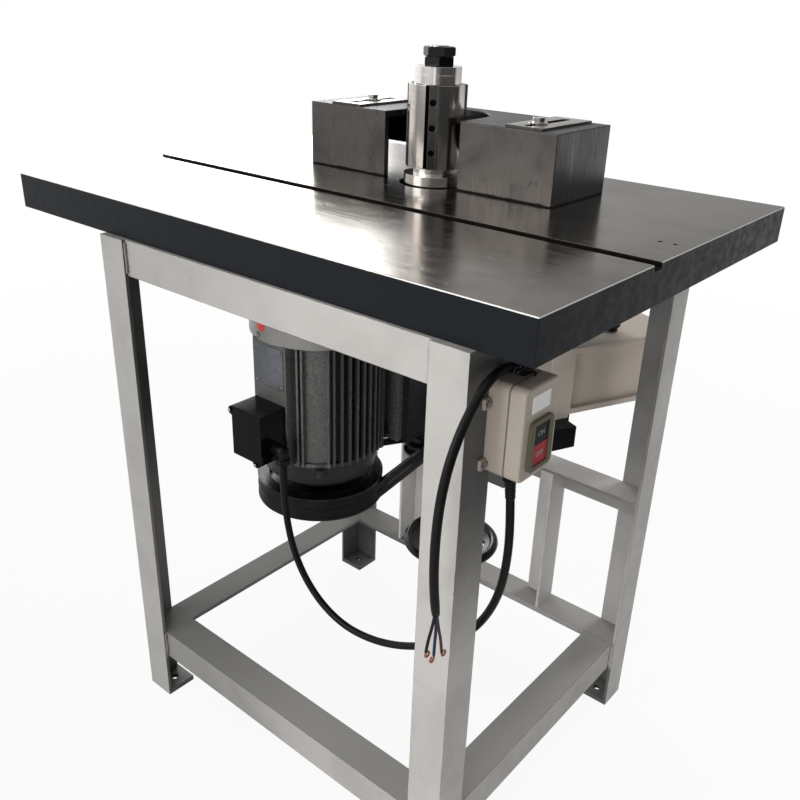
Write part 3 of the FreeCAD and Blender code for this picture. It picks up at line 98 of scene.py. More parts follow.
# Surfaces


def unit(vectors: Array) -> Array:
    """Scales vectors to length one."""
    return vectors / np.linalg.norm(vectors, axis=-1, keepdims=True)


def around(sides: int) -> Array:
    """Angles of points spread over a full turn."""
    return np.linspace(0.0, FULL_TURN, sides, endpoint=False)


def circle(side: Array, other: Array, sides: int) -> Array:
    """Unit circle in the plane of two directions: side cos a + other sin a."""
    angle = around(sides)[:, None]
    return np.cos(angle) * side + np.sin(angle) * other


def place_mesh(name: str, mesh: bpy.types.Mesh, finish: "Finish") -> Piece:
    """Puts a mesh into the scene as a finished piece.

    Args:
        name: the piece's name.
        mesh: its mesh.
        finish: its finish.
    Returns:
        The piece.
    """
    mesh.materials.append(finish.material())
    piece = bpy.data.objects.new(name, mesh)
    bpy.context.scene.collection.objects.link(piece)
    log.info("piece %s: %d points", name, len(mesh.vertices))
    return piece


@dataclass
class Skin:
    """Points and faces of one or more closed surfaces."""

    points: Array
    faces: list[list[int]]

    @classmethod
    def of_rings(cls, rings: Array) -> "Skin":
        """Joins rings of points into a tube, and closes its ends with fans.

        Args:
            rings: array of ring, point in the ring, and place; a ring turns left-handed seen along the tube.
        Returns:
            The skin.
        """
        rows, columns = rings.shape[:2]
        low = np.arange(rows - 1)[:, None] * columns
        j = np.arange(columns)
        k = (j + 1) % columns
        quads = np.stack([low + j, low + k, low + columns + k, low + columns + j], -1).reshape(-1, 4)
        tip, last = rows * columns, (rows - 1) * columns
        start = np.stack([np.full(columns, tip), k, j], -1)
        end = np.stack([np.full(columns, tip + 1), last + j, last + k], -1)
        points = np.vstack([rings.reshape(-1, 3), rings[0].mean(0), rings[-1].mean(0)])
        return cls(points, quads.tolist() + start.tolist() + end.tolist())

    @classmethod
    def joined(cls, skins: Sequence["Skin"]) -> "Skin":
        """Puts several skins into one.

        Args:
            skins: the skins.
        Returns:
            The skin of them all.
        """
        starts = np.cumsum([0] + [len(s.points) for s in skins])
        faces = [[int(n + start) for n in face] for s, start in zip(skins, starts) for face in s.faces]
        return cls(np.vstack([s.points for s in skins]), faces)

    def piece(self, name: str, finish: "Finish", body: Optional[str], slot: str, smooth: bool = True) -> Piece:
        """Makes the skin a finished piece.

        Args:
            name: the piece's name.
            finish: its finish.
            body: the CAD body that carries it, where one does.
            slot: not used.
            smooth: shades it smooth.
        Returns:
            The piece.
        """
        mesh = bpy.data.meshes.new(name)
        mesh.from_pydata(self.points.tolist(), [], self.faces)
        mesh.update()
        mesh.polygons.foreach_set("use_smooth", np.full(len(mesh.polygons), smooth))
        piece = place_mesh(name, mesh, finish)
        if body:
            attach(piece, body)
        return piece


def swept(path: Array, radius: Union[float, Array], sides: int, across: Array = RIGHT) -> Skin:
    """Round profile carried along a path: point = path + radius (n cos a + b sin a), n and b square to the path.

    Args:
        path: points of the middle line.
        radius: one radius, or one per point.
        sides: points round the profile.
        across: a direction that the path never takes.
    Returns:
        The closed tube.
    """
    along = unit(np.gradient(path, axis=0))
    side = unit(np.cross(along, across))
    other = np.cross(along, side)
    reach = np.broadcast_to(np.asarray(radius, float), (len(path),))[:, None, None]
    return Skin.of_rings(path[:, None] + reach * circle(side[:, None], other[:, None], sides))


def turned(profile: Sequence[Pair], at: Sequence[float], axis: Sequence[float], sides: int) -> Skin:
    """Profile of radius and height turned about a level axis: point = at + axis h + r (n cos a + b sin a).

    Args:
        profile: radius and height pairs, from the start of the axis on.
        at: foot of the axis.
        axis: its direction.
        sides: points round it.
    Returns:
        The closed skin.
    """
    along = unit(np.asarray(axis, float))
    side = unit(np.cross(along, UP))
    ring = circle(side, np.cross(along, side), sides)
    radius, height = np.asarray(profile, float).T[:, :, None, None]
    return Skin.of_rings(np.asarray(at) + height * along + radius * ring[None])


def curve_mesh(curve: bpy.types.Curve) -> tuple[bpy.types.Mesh, Array]:
    """Turns a curve into a mesh and removes the curve.

    Args:
        curve: the curve.
    Returns:
        The mesh and its points.
    """
    carrier = bpy.data.objects.new("carrier", curve)
    mesh = bpy.data.meshes.new_from_object(carrier)
    points = np.empty(len(mesh.vertices) * 3)
    mesh.vertices.foreach_get("co", points)
    bpy.data.objects.remove(carrier)
    bpy.data.curves.remove(curve)
    return mesh, points.reshape(-1, 3)


def spline_points(route: Sequence[Point], steps: int = 8) -> Array:
    """Points along the smooth NURBS line that has the route as its control points.

    Args:
        route: control points.
        steps: points per stretch.
    Returns:
        The points in order.
    """
    curve = bpy.data.curves.new("route", "CURVE")
    curve.dimensions = "3D"
    curve.resolution_u = steps
    line = curve.splines.new("NURBS")
    line.points.add(len(route) - 1)
    line.points.foreach_set("co", np.column_stack([np.asarray(route), np.ones(len(route))]).ravel())
    line.order_u = 3
    line.use_endpoint_u = True
    mesh, points = curve_mesh(curve)
    bpy.data.meshes.remove(mesh)
    return points


# Shader nodes


class Graph:
    """A node tree under construction."""

    def __init__(self, tree: bpy.types.NodeTree) -> None:
        """Starts on a tree."""
        self.tree = tree

    def add(self, kind: str, inputs: Optional[dict] = None, **settings: object) -> Node:
        """Adds a node, sets it and links it.

        Args:
            kind: node type without the ShaderNode prefix.
            inputs: socket name or number to a value or a socket.
            settings: node properties.
        Returns:
            The node.
        """
        node = self.tree.nodes.new("ShaderNode" + kind)
        for name, setting in settings.items():
            setattr(node, name, setting)
        for key, value in (inputs or {}).items():
            self.feed(node.inputs[key], value)
        return node

    def feed(self, socket: Socket, value: Value) -> None:
        """Links a socket into another, or sets its value.

        Args:
            socket: the socket to feed.
            value: what feeds it.
        """
        if isinstance(value, Socket):
            self.tree.links.new(value, socket)
        else:
            socket.default_value = value

    def maths(self, operation: str, a: Value, b: Value = 0.0) -> Socket:
        """One Math node's result."""
        return self.add("Math", {0: a, 1: b}, operation=operation).outputs[0]

    def plus(self, a: Value, b: Value) -> Socket:
        """Sum."""
        return self.maths("ADD", a, b)

    def minus(self, a: Value, b: Value) -> Socket:
        """Difference."""
        return self.maths("SUBTRACT", a, b)

    def times(self, a: Value, b: Value) -> Socket:
        """Product."""
        return self.maths("MULTIPLY", a, b)

    def most(self, a: Value, b: Value) -> Socket:
        """The larger of two values."""
        return self.maths("MAXIMUM", a, b)

    def apart(self, a: Value, b: Value) -> Socket:
        """Distance between two values."""
        return self.maths("ABSOLUTE", self.minus(a, b))

    def above(self, a: Value, b: Value) -> Socket:
        """One where a is over b, else zero."""
        return self.maths("GREATER_THAN", a, b)

    def below(self, a: Value, b: Value) -> Socket:
        """One where a is under b, else zero."""
        return self.maths("LESS_THAN", a, b)

    def vector(self, operation: str, *inputs: Value) -> Socket:
        """One Vector Math node's result: a number for a length or a dot product, else a vector."""
        outputs = self.add("VectorMath", dict(enumerate(inputs)), operation=operation).outputs
        return outputs["Value" if operation in ("LENGTH", "DOT_PRODUCT") else "Vector"]

    def level_offset(self, a: Value, b: Value) -> Socket:
        """Level part of the way from b to a."""
        return self.vector("MULTIPLY", self.vector("SUBTRACT", a, b), LEVEL)

    def span(self, value: Value, low: Value, high: Value, start: float = 0.0, end: float = 1.0) -> Socket:
        """Smooth step from start at low to end at high."""
        sockets = {"Value": value, "From Min": low, "From Max": high, "To Min": start, "To Max": end}
        return self.add("MapRange", sockets, interpolation_type="SMOOTHSTEP").outputs[0]

    def tint(self, share: Value, a: Tint, b: Tint) -> Socket:
        """Mix of two colours.

        Args:
            share: how much of the second.
            a, b: the colours.
        Returns:
            The mixed colour.
        """
        node = self.add("Mix", {0: share}, data_type="RGBA", blend_type="MIX")
        for socket, colour in ((node.inputs[6], a), (node.inputs[7], b)):
            self.feed(socket, colour if isinstance(colour, Socket) else (*colour, 1.0))
        return node.outputs[2]

    def layers(self, base: Tint, *coats: tuple[Value, Tint]) -> Socket:
        """Colours laid one over another.

        Args:
            base: the lowest colour.
            coats: share and colour of each one above it.
        Returns:
            The mixed colour.
        """
        for share, colour in coats:
            base = self.tint(share, base, colour)
        return base

    def noise(self, vector: Value, scale: Value, detail: float = 3.0, rough: float = 0.5, bend: float = 0.0) -> Socket:
        """Noise value at a place."""
        sockets = {"Vector": vector, "Scale": scale, "Detail": detail, "Roughness": rough, "Distortion": bend}
        return self.add("TexNoise", sockets).outputs[0]

    def split(self, vector: Socket) -> Sequence[Socket]:
        """X, Y and Z of a vector."""
        return self.add("SeparateXYZ", {0: vector}).outputs[:]


class Effect(Enum):
    """Surface effects that several finishes share."""

    EDGE = "edge_wear"
    STAIN = "stains"
    SPECK = "specks"
    GRAIN = "ground_grain"
    TURNED = "turning_marks"
    HAMMER = "hammer_finish"
    DUST = "settled_dust"


class EffectLibrary:
    """Builds each effect's node group once and places it in materials."""

    VECTORS = ("Vector", "Stretch", "Axis", "Normal")

    def __init__(self) -> None:
        """Lists what builds each effect."""
        self.makers: dict[Effect, Callable[[], None]] = {
            Effect.EDGE: self.edge, Effect.STAIN: self.stain, Effect.SPECK: self.speck, Effect.GRAIN: self.grain,
            Effect.TURNED: self.turning, Effect.HAMMER: self.hammer, Effect.DUST: self.dust}

    def place(self, graph: Graph, effect: Effect, **inputs: Value) -> Node:
        """Puts an effect's group into a tree.

        Args:
            graph: the material's tree.
            effect: which one.
            inputs: its sockets by name.
        Returns:
            The group node.
        """
        if effect.value not in bpy.data.node_groups:
            self.makers[effect]()
        node = graph.tree.nodes.new("ShaderNodeGroup")
        node.node_tree = bpy.data.node_groups[effect.value]
        for name, value in inputs.items():
            graph.feed(node.inputs[name], value)
        return node

    def start(self, effect: Effect, inputs: str, outputs: str) -> tuple[Graph, dict[str, Socket], dict[str, Socket]]:
        """Opens a new group with named sockets.

        Args:
            effect: names the group.
            inputs, outputs: socket names with spaces between.
        Returns:
            The graph, its input sockets and its output sockets by name.
        """
        tree = bpy.data.node_groups.new(effect.value, "ShaderNodeTree")
        for names, way in ((inputs, "INPUT"), (outputs, "OUTPUT")):
            for name in names.split():
                kind = "NodeSocketVector" if name in self.VECTORS else "NodeSocketFloat"
                tree.interface.new_socket(name=name, in_out=way, socket_type=kind)
        entry, leave = tree.nodes.new("NodeGroupInput"), tree.nodes.new("NodeGroupOutput")
        return (Graph(tree), {name: entry.outputs[name] for name in inputs.split()},
                {name: leave.inputs[name] for name in outputs.split()})

    def edge(self) -> None:
        """Broken line along edges: how far the rounded normal leaves the true one, times noise."""
        g, i, o = self.start(Effect.EDGE, "Vector Radius Scale Amount", "Mask Normal")
        rounded = g.add("Bevel", {"Radius": i["Radius"]}, samples=4).outputs[0]
        alike = g.vector("DOT_PRODUCT", rounded, g.add("NewGeometry").outputs["Normal"])
        edge = g.span(g.minus(1.0, alike), 0.015, 0.14)
        broken = g.noise(i["Vector"], i["Scale"], detail=5.0, rough=0.65)
        low = g.minus(0.86, i["Amount"])
        g.feed(o["Mask"], g.times(edge, g.span(broken, low, g.plus(low, 0.16))))
        g.feed(o["Normal"], rounded)

    def stain(self) -> None:
        """Soft blots: wide noise bent by itself, cut at a level."""
        g, i, o = self.start(Effect.STAIN, "Vector Scale Level Soft", "Mask")
        wide = g.noise(i["Vector"], i["Scale"], detail=6.0, rough=0.62, bend=0.6)
        g.feed(o["Mask"], g.span(wide, i["Level"], g.plus(i["Level"], i["Soft"])))

    def speck(self) -> None:
        """Small spots: the middles of random cells, left out where a wide noise is low."""
        g, i, o = self.start(Effect.SPECK, "Vector Scale Size Level", "Mask")
        cell = g.add("TexVoronoi", {"Vector": i["Vector"], "Scale": i["Scale"]}).outputs["Distance"]
        wide = g.noise(i["Vector"], 31.0, detail=2.0)
        chosen = g.span(wide, i["Level"], g.plus(i["Level"], 0.05))
        g.feed(o["Mask"], g.times(g.span(cell, i["Size"], 0.0), chosen))

    def grain(self) -> None:
        """Fine lines: noise stretched along one direction."""
        g, i, o = self.start(Effect.GRAIN, "Vector Stretch Scale", "Value")
        drawn = g.vector("MULTIPLY", i["Vector"], i["Stretch"])
        g.feed(o["Value"], g.noise(drawn, i["Scale"], detail=5.0, rough=0.7))

    def turning(self) -> None:
        """Lathe marks about an upright axis: noise of the distance from the axis and of the height."""
        g, i, o = self.start(Effect.TURNED, "Vector Axis Scale", "Value Reach")
        reach = g.vector("LENGTH", g.level_offset(i["Vector"], i["Axis"]))
        ring = g.add("CombineXYZ", {0: reach, 2: g.split(i["Vector"])[2]}).outputs[0]
        g.feed(o["Value"], g.noise(ring, i["Scale"], detail=4.0, rough=0.75))
        g.feed(o["Reach"], reach)

    def hammer(self) -> None:
        """Hammer-finish enamel: rounded cells, shifted by noise, with darker hollows."""
        g, i, o = self.start(Effect.HAMMER, "Vector Scale", "Height Hollow")
        shift = g.add("TexNoise", {"Vector": i["Vector"], "Scale": i["Scale"], "Detail": 2.0}).outputs["Color"]
        place = g.vector("ADD", i["Vector"], g.vector("MULTIPLY", shift, (0.006, 0.006, 0.006)))
        sockets = {"Vector": place, "Scale": i["Scale"], "Smoothness": 0.65}
        cell = g.add("TexVoronoi", sockets, feature="SMOOTH_F1").outputs["Distance"]
        g.feed(o["Height"], g.minus(1.0, cell))
        g.feed(o["Hollow"], g.span(cell, 0.25, 0.7))

    def dust(self) -> None:
        """Dust on upward faces: the normal's height times broken noise."""
        g, i, o = self.start(Effect.DUST, "Vector Scale Level", "Mask")
        up = g.split(g.add("NewGeometry").outputs["Normal"])[2]
        wide = g.noise(i["Vector"], i["Scale"], detail=6.0, rough=0.7)
        broken = g.span(wide, i["Level"], g.plus(i["Level"], 0.25))
        g.feed(o["Mask"], g.times(g.span(up, 0.5, 0.95), broken))


EFFECTS = EffectLibrary()


class Surface(Graph):
    """A material's tree with its shader, the place on the object and the shared effects."""

    def __init__(self, material: bpy.types.Material) -> None:
        """Opens a material's tree.

        Args:
            material: the material.
        """
        material.use_nodes = True
        super().__init__(material.node_tree)
        self.shader = self.tree.nodes["Principled BSDF"]
        self.place = self.add("TexCoord").outputs["Object"]

    def effect(self, effect: Effect, **inputs: Value) -> Sequence[Socket]:
        """Outputs of a shared effect at the place."""
        return EFFECTS.place(self, effect, Vector=self.place, **inputs).outputs

    def mottle(self, scale: float, detail: float = 3.0, rough: float = 0.5) -> Socket:
        """Noise at the place."""
        return self.noise(self.place, scale, detail, rough)

    def blots(self, scale: float, level: float, soft: float) -> Socket:
        """Soft blots."""
        return self.effect(Effect.STAIN, Scale=scale, Level=level, Soft=soft)[0]

    def spots(self, scale: float, size: float, level: float) -> Socket:
        """Small spots."""
        return self.effect(Effect.SPECK, Scale=scale, Size=size, Level=level)[0]

    def lines(self, stretch: Point, scale: float) -> Socket:
        """Fine lines."""
        return self.effect(Effect.GRAIN, Stretch=stretch, Scale=scale)[0]

    def dust(self, scale: float, level: float) -> Socket:
        """Dust on upward faces."""
        return self.effect(Effect.DUST, Scale=scale, Level=level)[0]

    def wear(self, radius: float, scale: float, amount: float) -> Sequence[Socket]:
        """Worn edges: their mask and the rounded normal."""
        return self.effect(Effect.EDGE, Radius=radius, Scale=scale, Amount=amount)[:]

    def look(self, colour: Value, rough: Value, metallic: Value = 0.0, specular: float = 0.5) -> None:
        """Feeds the shader.

        Args:
            colour: base colour.
            rough: roughness.
            metallic: share of bare metal.
            specular: strength of the reflection.
        """
        sockets = {"Base Color": colour, "Roughness": rough, "Metallic": metallic, "Specular IOR Level": specular}
        for name, value in sockets.items():
            self.feed(self.shader.inputs[name], value)

    def emboss(self, height: Socket, strength: float, depth: float, normal: Optional[Socket] = None) -> None:
        """Gives the shader relief.

        Args:
            height: relief of 0 to 1.
            strength, depth: share and depth of the relief.
            normal: a rounded normal below it.
        """
        inputs = {"Strength": strength, "Distance": depth, "Height": height}
        if normal is not None:
            inputs["Normal"] = normal
        self.feed(self.shader.inputs["Normal"], self.add("Bump", inputs).outputs[0])


# Finishes


@dataclass(frozen=True)
class Finish:
    """A named surface finish that makes one material."""

    name: str

    def material(self) -> bpy.types.Material:
        """Makes the material once, and gives it back each time.

        Returns:
            The material.
        """
        title = "finish_" + self.name
        made = bpy.data.materials.get(title)
        if made is None:
            made = bpy.data.materials.new(title)
            self.shade(Surface(made))
        return made

    def shade(self, s: Surface) -> None:
        """Builds the finish on a material's surface."""
        raise NotImplementedError


@dataclass(frozen=True)
class Paint(Finish):
    """Sprayed paint with blots, specks, worn edges and dust, where the case's pale edges are a painted highlight and
    the rails' and mid rail's dust colour a painted tone on the tops; further settings paint shade on the faces towards
    the middle of the stand, on the leg by the switch and towards the left.
    """

    colour: Colour
    shade_colour: Colour
    edge_colour: Colour
    speck_colour: Colour
    dust_and_top_shading_colour: Colour
    roughness: float = 0.42
    metallic: float = 0.0
    edge_radius: float = 0.0014
    edge_amount: float = 0.4
    speck_scale: float = 140.0
    speck_size: float = 0.16
    speck_level: float = 0.54
    dust_and_top_shading_level: float = 0.6
    relief_scale: float = 420.0
    relief: float = 0.1
    specular: float = 0.4
    # Painted shade: its strength on faces towards the middle of the stand and on the leg by the switch, its colour, and
    # its strength towards the left.
    inward_shade: float = 0.0
    painted_shade_colour: Colour = srgb(50, 52, 52)
    left_shade: float = 0.0
    middle: Point = (0.0745, -0.068, 0.0)

    def shade(self, s: Surface) -> None:
        """Blots, then painted shade, dust, specks and worn edges over the paint.

        Args:
            s: the surface to paint.
        """
        blot = s.blots(scale=9.0, level=0.38, soft=0.35)
        grit = s.mottle(2.0 * self.relief_scale, rough=0.7)
        speck = s.spots(self.speck_scale, self.speck_size, self.speck_level)
        dust = s.dust(38.0, self.dust_and_top_shading_level)
        worn, normal = s.wear(self.edge_radius, 38.0, self.edge_amount)
        gritty = s.span(grit, 0.35, 0.75, 0.0, 0.22)
        colour = s.layers(self.colour, (blot, self.shade_colour), (gritty, self.shade_colour))
        # Painted shade on faces towards the middle of the stand and on the leg by the switch.
        if self.inward_shade:
            colour = s.tint(self.painted_shade_mask(s), colour, self.painted_shade_colour)
        # Dust on upward faces; on the rails and the mid rail its colour is a painted tone on the tops, darker on the
        # rails and a touch paler on the mid rail.
        colour = s.tint(dust, colour, self.dust_and_top_shading_colour)
        # Painted shade, darker towards the left of the stand.
        if self.left_shade:
            on_left = s.span(s.split(s.place)[0], 0.2, -0.15, 0.0, self.left_shade)
            colour = s.tint(on_left, colour, self.painted_shade_colour)
        # Worn edges; on the case the pale edge colour is a painted highlight along the edges and the lip.
        colour = s.layers(colour, (speck, self.speck_colour), (worn, self.edge_colour))
        sheen = s.mottle(60.0, detail=4.0, rough=0.6)
        rough = s.span(sheen, 0.3, 0.7, self.roughness - 0.08, self.roughness + 0.1)
        s.look(colour, s.most(rough, s.times(dust, 0.8)), self.metallic, self.specular)
        peel = s.mottle(self.relief_scale, detail=4.0, rough=0.6)
        s.emboss(s.minus(peel, speck), self.relief, 0.0006, normal)

    def painted_shade_mask(self, s: Surface) -> Socket:
        """Painted shade: faces towards the middle of the stand, strongest on the left, high up under the table and at
        the floor, and the leg's right face by the switch.

        Args:
            s: the surface to paint.
        Returns:
            The mask.
        """
        normal = s.add("NewGeometry").outputs["True Normal"]
        facing = s.vector("DOT_PRODUCT", normal, s.level_offset(self.middle, s.place))
        x, y, z = s.split(s.place)
        uneven = s.span(s.mottle(7.0, detail=4.0, rough=0.6), 0.3, 0.7, 0.8 * self.inward_shade, self.inward_shade)
        at_floor = s.span(z, 0.09, 0.075)
        left = s.most(s.span(x, 0.0, 0.3, 1.0, 0.0), s.span(z, 0.17, 0.6, 0.2, 0.88))
        ends = s.most(s.span(z, 0.2, 0.66, 0.62, 1.0), at_floor)
        strong = s.times(uneven, s.times(ends, s.most(left, at_floor)))
        painted_shade_mask = s.times(s.span(facing, 0.0, 0.05), strong)
        right_face = s.times(s.span(s.split(normal)[0], 0.5, 0.9), s.span(x, 0.3, 0.32))
        # Painted shade on the leg's right face, stronger higher up by the switch, where the switch and the table
        # overhang shade it.
        switch_shade = s.times(s.span(y, -0.2, -0.27), s.span(z, 0.34, 0.66, 0.0, 0.95 * self.inward_shade))
        return s.most(painted_shade_mask, s.times(right_face, switch_shade))


@dataclass(frozen=True)
class Steel(Finish):
    """Bare metal with grain lines, stains and bright edges."""

    colour: Colour
    dark: Colour
    roughness: float
    stretch: Point
    scale: float
    stain_level: float = 0.55

    def shade(self, s: Surface) -> None:
        """Grain and stains in colour, gloss and relief.

        Args:
            s: the surface to finish.
        """
        grain = s.lines(self.stretch, self.scale)
        stain = s.blots(scale=24.0, level=self.stain_level, soft=0.2)
        worn, normal = s.wear(radius=0.0008, scale=90.0, amount=0.45)
        colour = s.layers(self.colour, (s.span(grain, 0.3, 0.75), self.dark), (s.times(stain, 0.7), self.dark),
                          (worn, scaled(self.colour, 1.35)))
        rough = s.span(grain, 0.3, 0.75, self.roughness * 0.8, self.roughness * 1.35)
        s.look(colour, s.plus(rough, s.times(stain, 0.1)), metallic=1.0)
        s.emboss(grain, 0.05, 0.0003, normal)


@dataclass(frozen=True)
class TurnedSteel(Finish):
    """Lathe-turned metal with marks round an upright axis, with painted shade within the radius of a recess."""

    axis: Point
    colour: Colour
    dark: Colour
    roughness: float
    metallic: float = 1.0
    scale: float = 1100.0
    relief: float = 0.02
    # Painted shade in recesses: the radius within which faces are darkened, and the dark colour.
    recess_r: float = 0.0
    recess: Colour = srgb(18, 18, 18)

    def shade(self, s: Surface) -> None:
        """Turning marks in colour, gloss and relief, with a few smudges.

        Args:
            s: the surface to finish.
        """
        marks, reach = s.effect(Effect.TURNED, Axis=self.axis, Scale=self.scale)[:]
        smudge = s.blots(scale=30.0, level=0.5, soft=0.25)
        worn, normal = s.wear(radius=0.0007, scale=120.0, amount=0.5)
        colour = s.layers(self.colour, (s.span(marks, 0.35, 0.75, 0.0, 0.35), self.dark),
                          (s.times(smudge, 0.45), self.dark), (worn, scaled(self.colour, 1.3)))
        # Painted shade in the recesses of the block and gibs.
        if self.recess_r:
            colour = s.tint(s.span(reach, self.recess_r, self.recess_r - 0.0012), colour, self.recess)
        rough = s.span(marks, 0.3, 0.8, self.roughness * 0.8, self.roughness * 1.3)
        s.look(colour, s.plus(rough, s.times(smudge, 0.08)), self.metallic)
        s.emboss(marks, self.relief, 0.0002, normal)


@dataclass(frozen=True)
class TableIron(Finish):
    """Ground table: polished top, a bare chamfer coloured near white as a painted highlight, bare slot, and slate paint
    on the sides.
    """

    top_colour: Colour = srgb(131, 125, 117)
    top_dark: Colour = srgb(98, 93, 87)
    top_pale: Colour = srgb(168, 162, 154)
    # Near white on the bare chamfer: a painted highlight.
    bright: Colour = srgb(244, 242, 238)
    slot_colour: Colour = srgb(52, 46, 42)
    paint: Colour = srgb(30, 33, 36)
    paint_shade: Colour = srgb(26, 28, 31)
    chip: Colour = srgb(150, 150, 148)
    top_z: float = 0.83985
    chamfer_z: float = 0.8387
    slot_z: float = 0.8315
    slot_y: float = -0.0785
    slot_half: float = 0.0098
    half_x: float = 0.4478
    mid_y: float = 0.005
    half_y: float = 0.3253

    def shade(self, s: Surface) -> None:
        """Sorts the surface by height and by distance from the slot, and finishes each part.

        Args:
            s: the surface to finish.
        """
        x, y, z = s.split(s.place)
        is_top = s.above(z, self.top_z)
        is_bare = s.above(z, self.chamfer_z)
        not_top = s.minus(1.0, is_top)
        rim = s.most(s.above(s.apart(y, self.mid_y), self.half_y), s.above(s.apart(x, 0.0), self.half_x))
        in_slot = s.most(s.below(s.apart(y, self.slot_y), self.slot_half), s.minus(1.0, rim))
        in_slot = s.times(s.times(in_slot, s.above(z, self.slot_z)), not_top)
        lines = s.lines(stretch=(0.06, 1.0, 1.0), scale=240.0)
        wide = s.blots(scale=5.0, level=0.36, soft=0.34)
        oil = s.blots(scale=34.0, level=0.52, soft=0.3)
        pit = s.spots(scale=75.0, size=0.12, level=0.58)
        worn, normal = s.wear(radius=0.0018, scale=70.0, amount=0.22)
        top = s.layers(self.top_colour, (wide, self.top_dark), (s.span(lines, 0.42, 0.8, 0.0, 0.3), self.top_pale),
                       (s.times(oil, 0.2), self.top_pale), (s.times(pit, 0.7), self.slot_colour))
        side = s.layers(self.paint, (s.mottle(14.0, detail=4.0, rough=0.6), self.paint_shade), (worn, self.chip))
        # The chamfer's near-white colour is a painted highlight.
        colour = s.layers(side, (is_bare, self.bright), (in_slot, self.slot_colour), (is_top, top))
        polish = s.plus(s.span(lines, 0.3, 0.8, 0.14, 0.25), s.times(oil, 0.12))
        polish = s.plus(polish, s.times(wide, 0.05))
        dull = s.span(s.mottle(90.0, detail=4.0), 0.3, 0.7, 0.36, 0.5)
        rough = s.plus(s.times(polish, is_top), s.times(dull, not_top))
        s.look(colour, rough, s.most(is_bare, in_slot), specular=0.1)
        skin = s.times(s.minus(s.mottle(300.0, rough=0.6), pit), 0.4)
        s.emboss(s.plus(skin, s.times(s.mottle(7.0), 3.0)), 0.05, 0.0005, normal)


@dataclass(frozen=True)
class FenceIron(Finish):
    """Fence casting: satin ground front, darker top and ends, pale worn pads."""

    face: Colour = srgb(106, 102, 99)
    face_dark: Colour = srgb(86, 83, 81)
    skin: Colour = srgb(84, 84, 85)
    scratch: Colour = srgb(128, 128, 128)
    pad: Colour = srgb(190, 186, 180)
    edge_dark: Colour = srgb(40, 38, 36)
    face_y: float = 0.0678
    pad_z: float = 0.9402
    top_z: float = 0.9368
    foot_z: float = 0.8401

    def shade(self, s: Surface) -> None:
        """Sorts the surface by place: front face, pads, top and the rest.

        Args:
            s: the surface to finish.
        """
        _, y, z = s.split(s.place)
        front = s.below(y, self.face_y)
        pads = s.above(z, self.pad_z)
        top = s.above(z, self.top_z)
        grain = s.lines(stretch=(1.0, 1.0, 0.08), scale=260.0)
        drip = s.lines(stretch=(1.0, 1.0, 0.12), scale=60.0)
        blot = s.blots(scale=13.0, level=0.44, soft=0.3)
        mark = s.blots(scale=42.0, level=0.61, soft=0.06)
        speck = s.spots(scale=110.0, size=0.16, level=0.56)
        worn, normal = s.wear(radius=0.0026, scale=60.0, amount=0.5)
        ground = s.layers(self.face, (blot, self.face_dark), (s.times(s.plus(mark, speck), 0.3), self.edge_dark))
        rest = s.tint(s.span(drip, 0.55, 0.75, 0.0, 0.55), self.skin, self.scratch)
        ragged = s.plus(z, s.times(s.mottle(55.0, detail=4.0, rough=0.7), -0.006))
        foot = s.span(ragged, self.foot_z + 0.0005, self.foot_z - 0.001)
        colour = s.layers(rest, (front, ground), (top, s.tint(0.7, ground, self.skin)),
                          (pads, s.tint(blot, self.pad, self.face)),
                          (s.most(foot, s.times(worn, 0.75)), self.edge_dark))
        rough = s.plus(s.span(grain, 0.3, 0.75, 0.26, 0.42), s.times(blot, 0.08))
        s.look(colour, s.plus(rough, s.times(s.minus(top, pads), 0.16)), metallic=1.0)
        cast = s.mottle(190.0, detail=5.0, rough=0.65)
        s.emboss(s.minus(cast, s.times(speck, 0.6)), 0.1, 0.0005, normal)


@dataclass(frozen=True)
class Enamel(Finish):
    """Hammer-finish enamel on the motor castings, with painted shade between the fins on the motor's right side where
    there are any.
    """

    colour: Colour = srgb(110, 110, 107)
    hollow: Colour = srgb(88, 88, 86)
    rubbed: Colour = srgb(150, 148, 144)
    dusty: Colour = srgb(120, 115, 108)
    roughness: float = 0.3
    scale: float = 360.0
    relief: float = 0.4
    # Painted shade between the fins: radius of the fin tips, depth of the shade, and its colour.
    fin_r: float = 0.0
    fin_depth: float = 0.011
    fin_shade: Colour = srgb(22, 22, 22)

    def shade(self, s: Surface) -> None:
        """Rounded cells in colour and relief, worn at the edges, dusty on top, with painted shade between the fins.

        Args:
            s: the surface to finish.
        """
        height, hollow = s.effect(Effect.HAMMER, Scale=self.scale)[:]
        worn, normal = s.wear(radius=0.001, scale=80.0, amount=0.4)
        cloudy = s.span(s.mottle(18.0), 0.4, 0.7, 0.0, 0.35)
        dust = s.times(s.dust(scale=45.0, level=0.5), 0.5)
        colour = s.layers(self.colour, (hollow, self.hollow), (cloudy, self.hollow),
                          (s.times(worn, 0.6), self.rubbed), (dust, self.dusty))
        # Painted shade between the fins, on the motor's right side only and darker deeper down.
        if self.fin_r:
            offset = s.level_offset(s.place, MOTOR_AXIS)
            reach = s.vector("LENGTH", offset)
            finned = s.span(s.maths("DIVIDE", s.split(offset)[0], reach), 0.79, 0.84)
            deep = s.span(reach, self.fin_r - self.fin_depth, self.fin_r, 0.75, 0.4)
            colour = s.tint(s.times(finned, deep), colour, self.fin_shade)
        s.look(colour, s.span(hollow, 0.0, 1.0, self.roughness, self.roughness + 0.16), metallic=0.35)
        s.emboss(height, self.relief, 0.0008, normal)


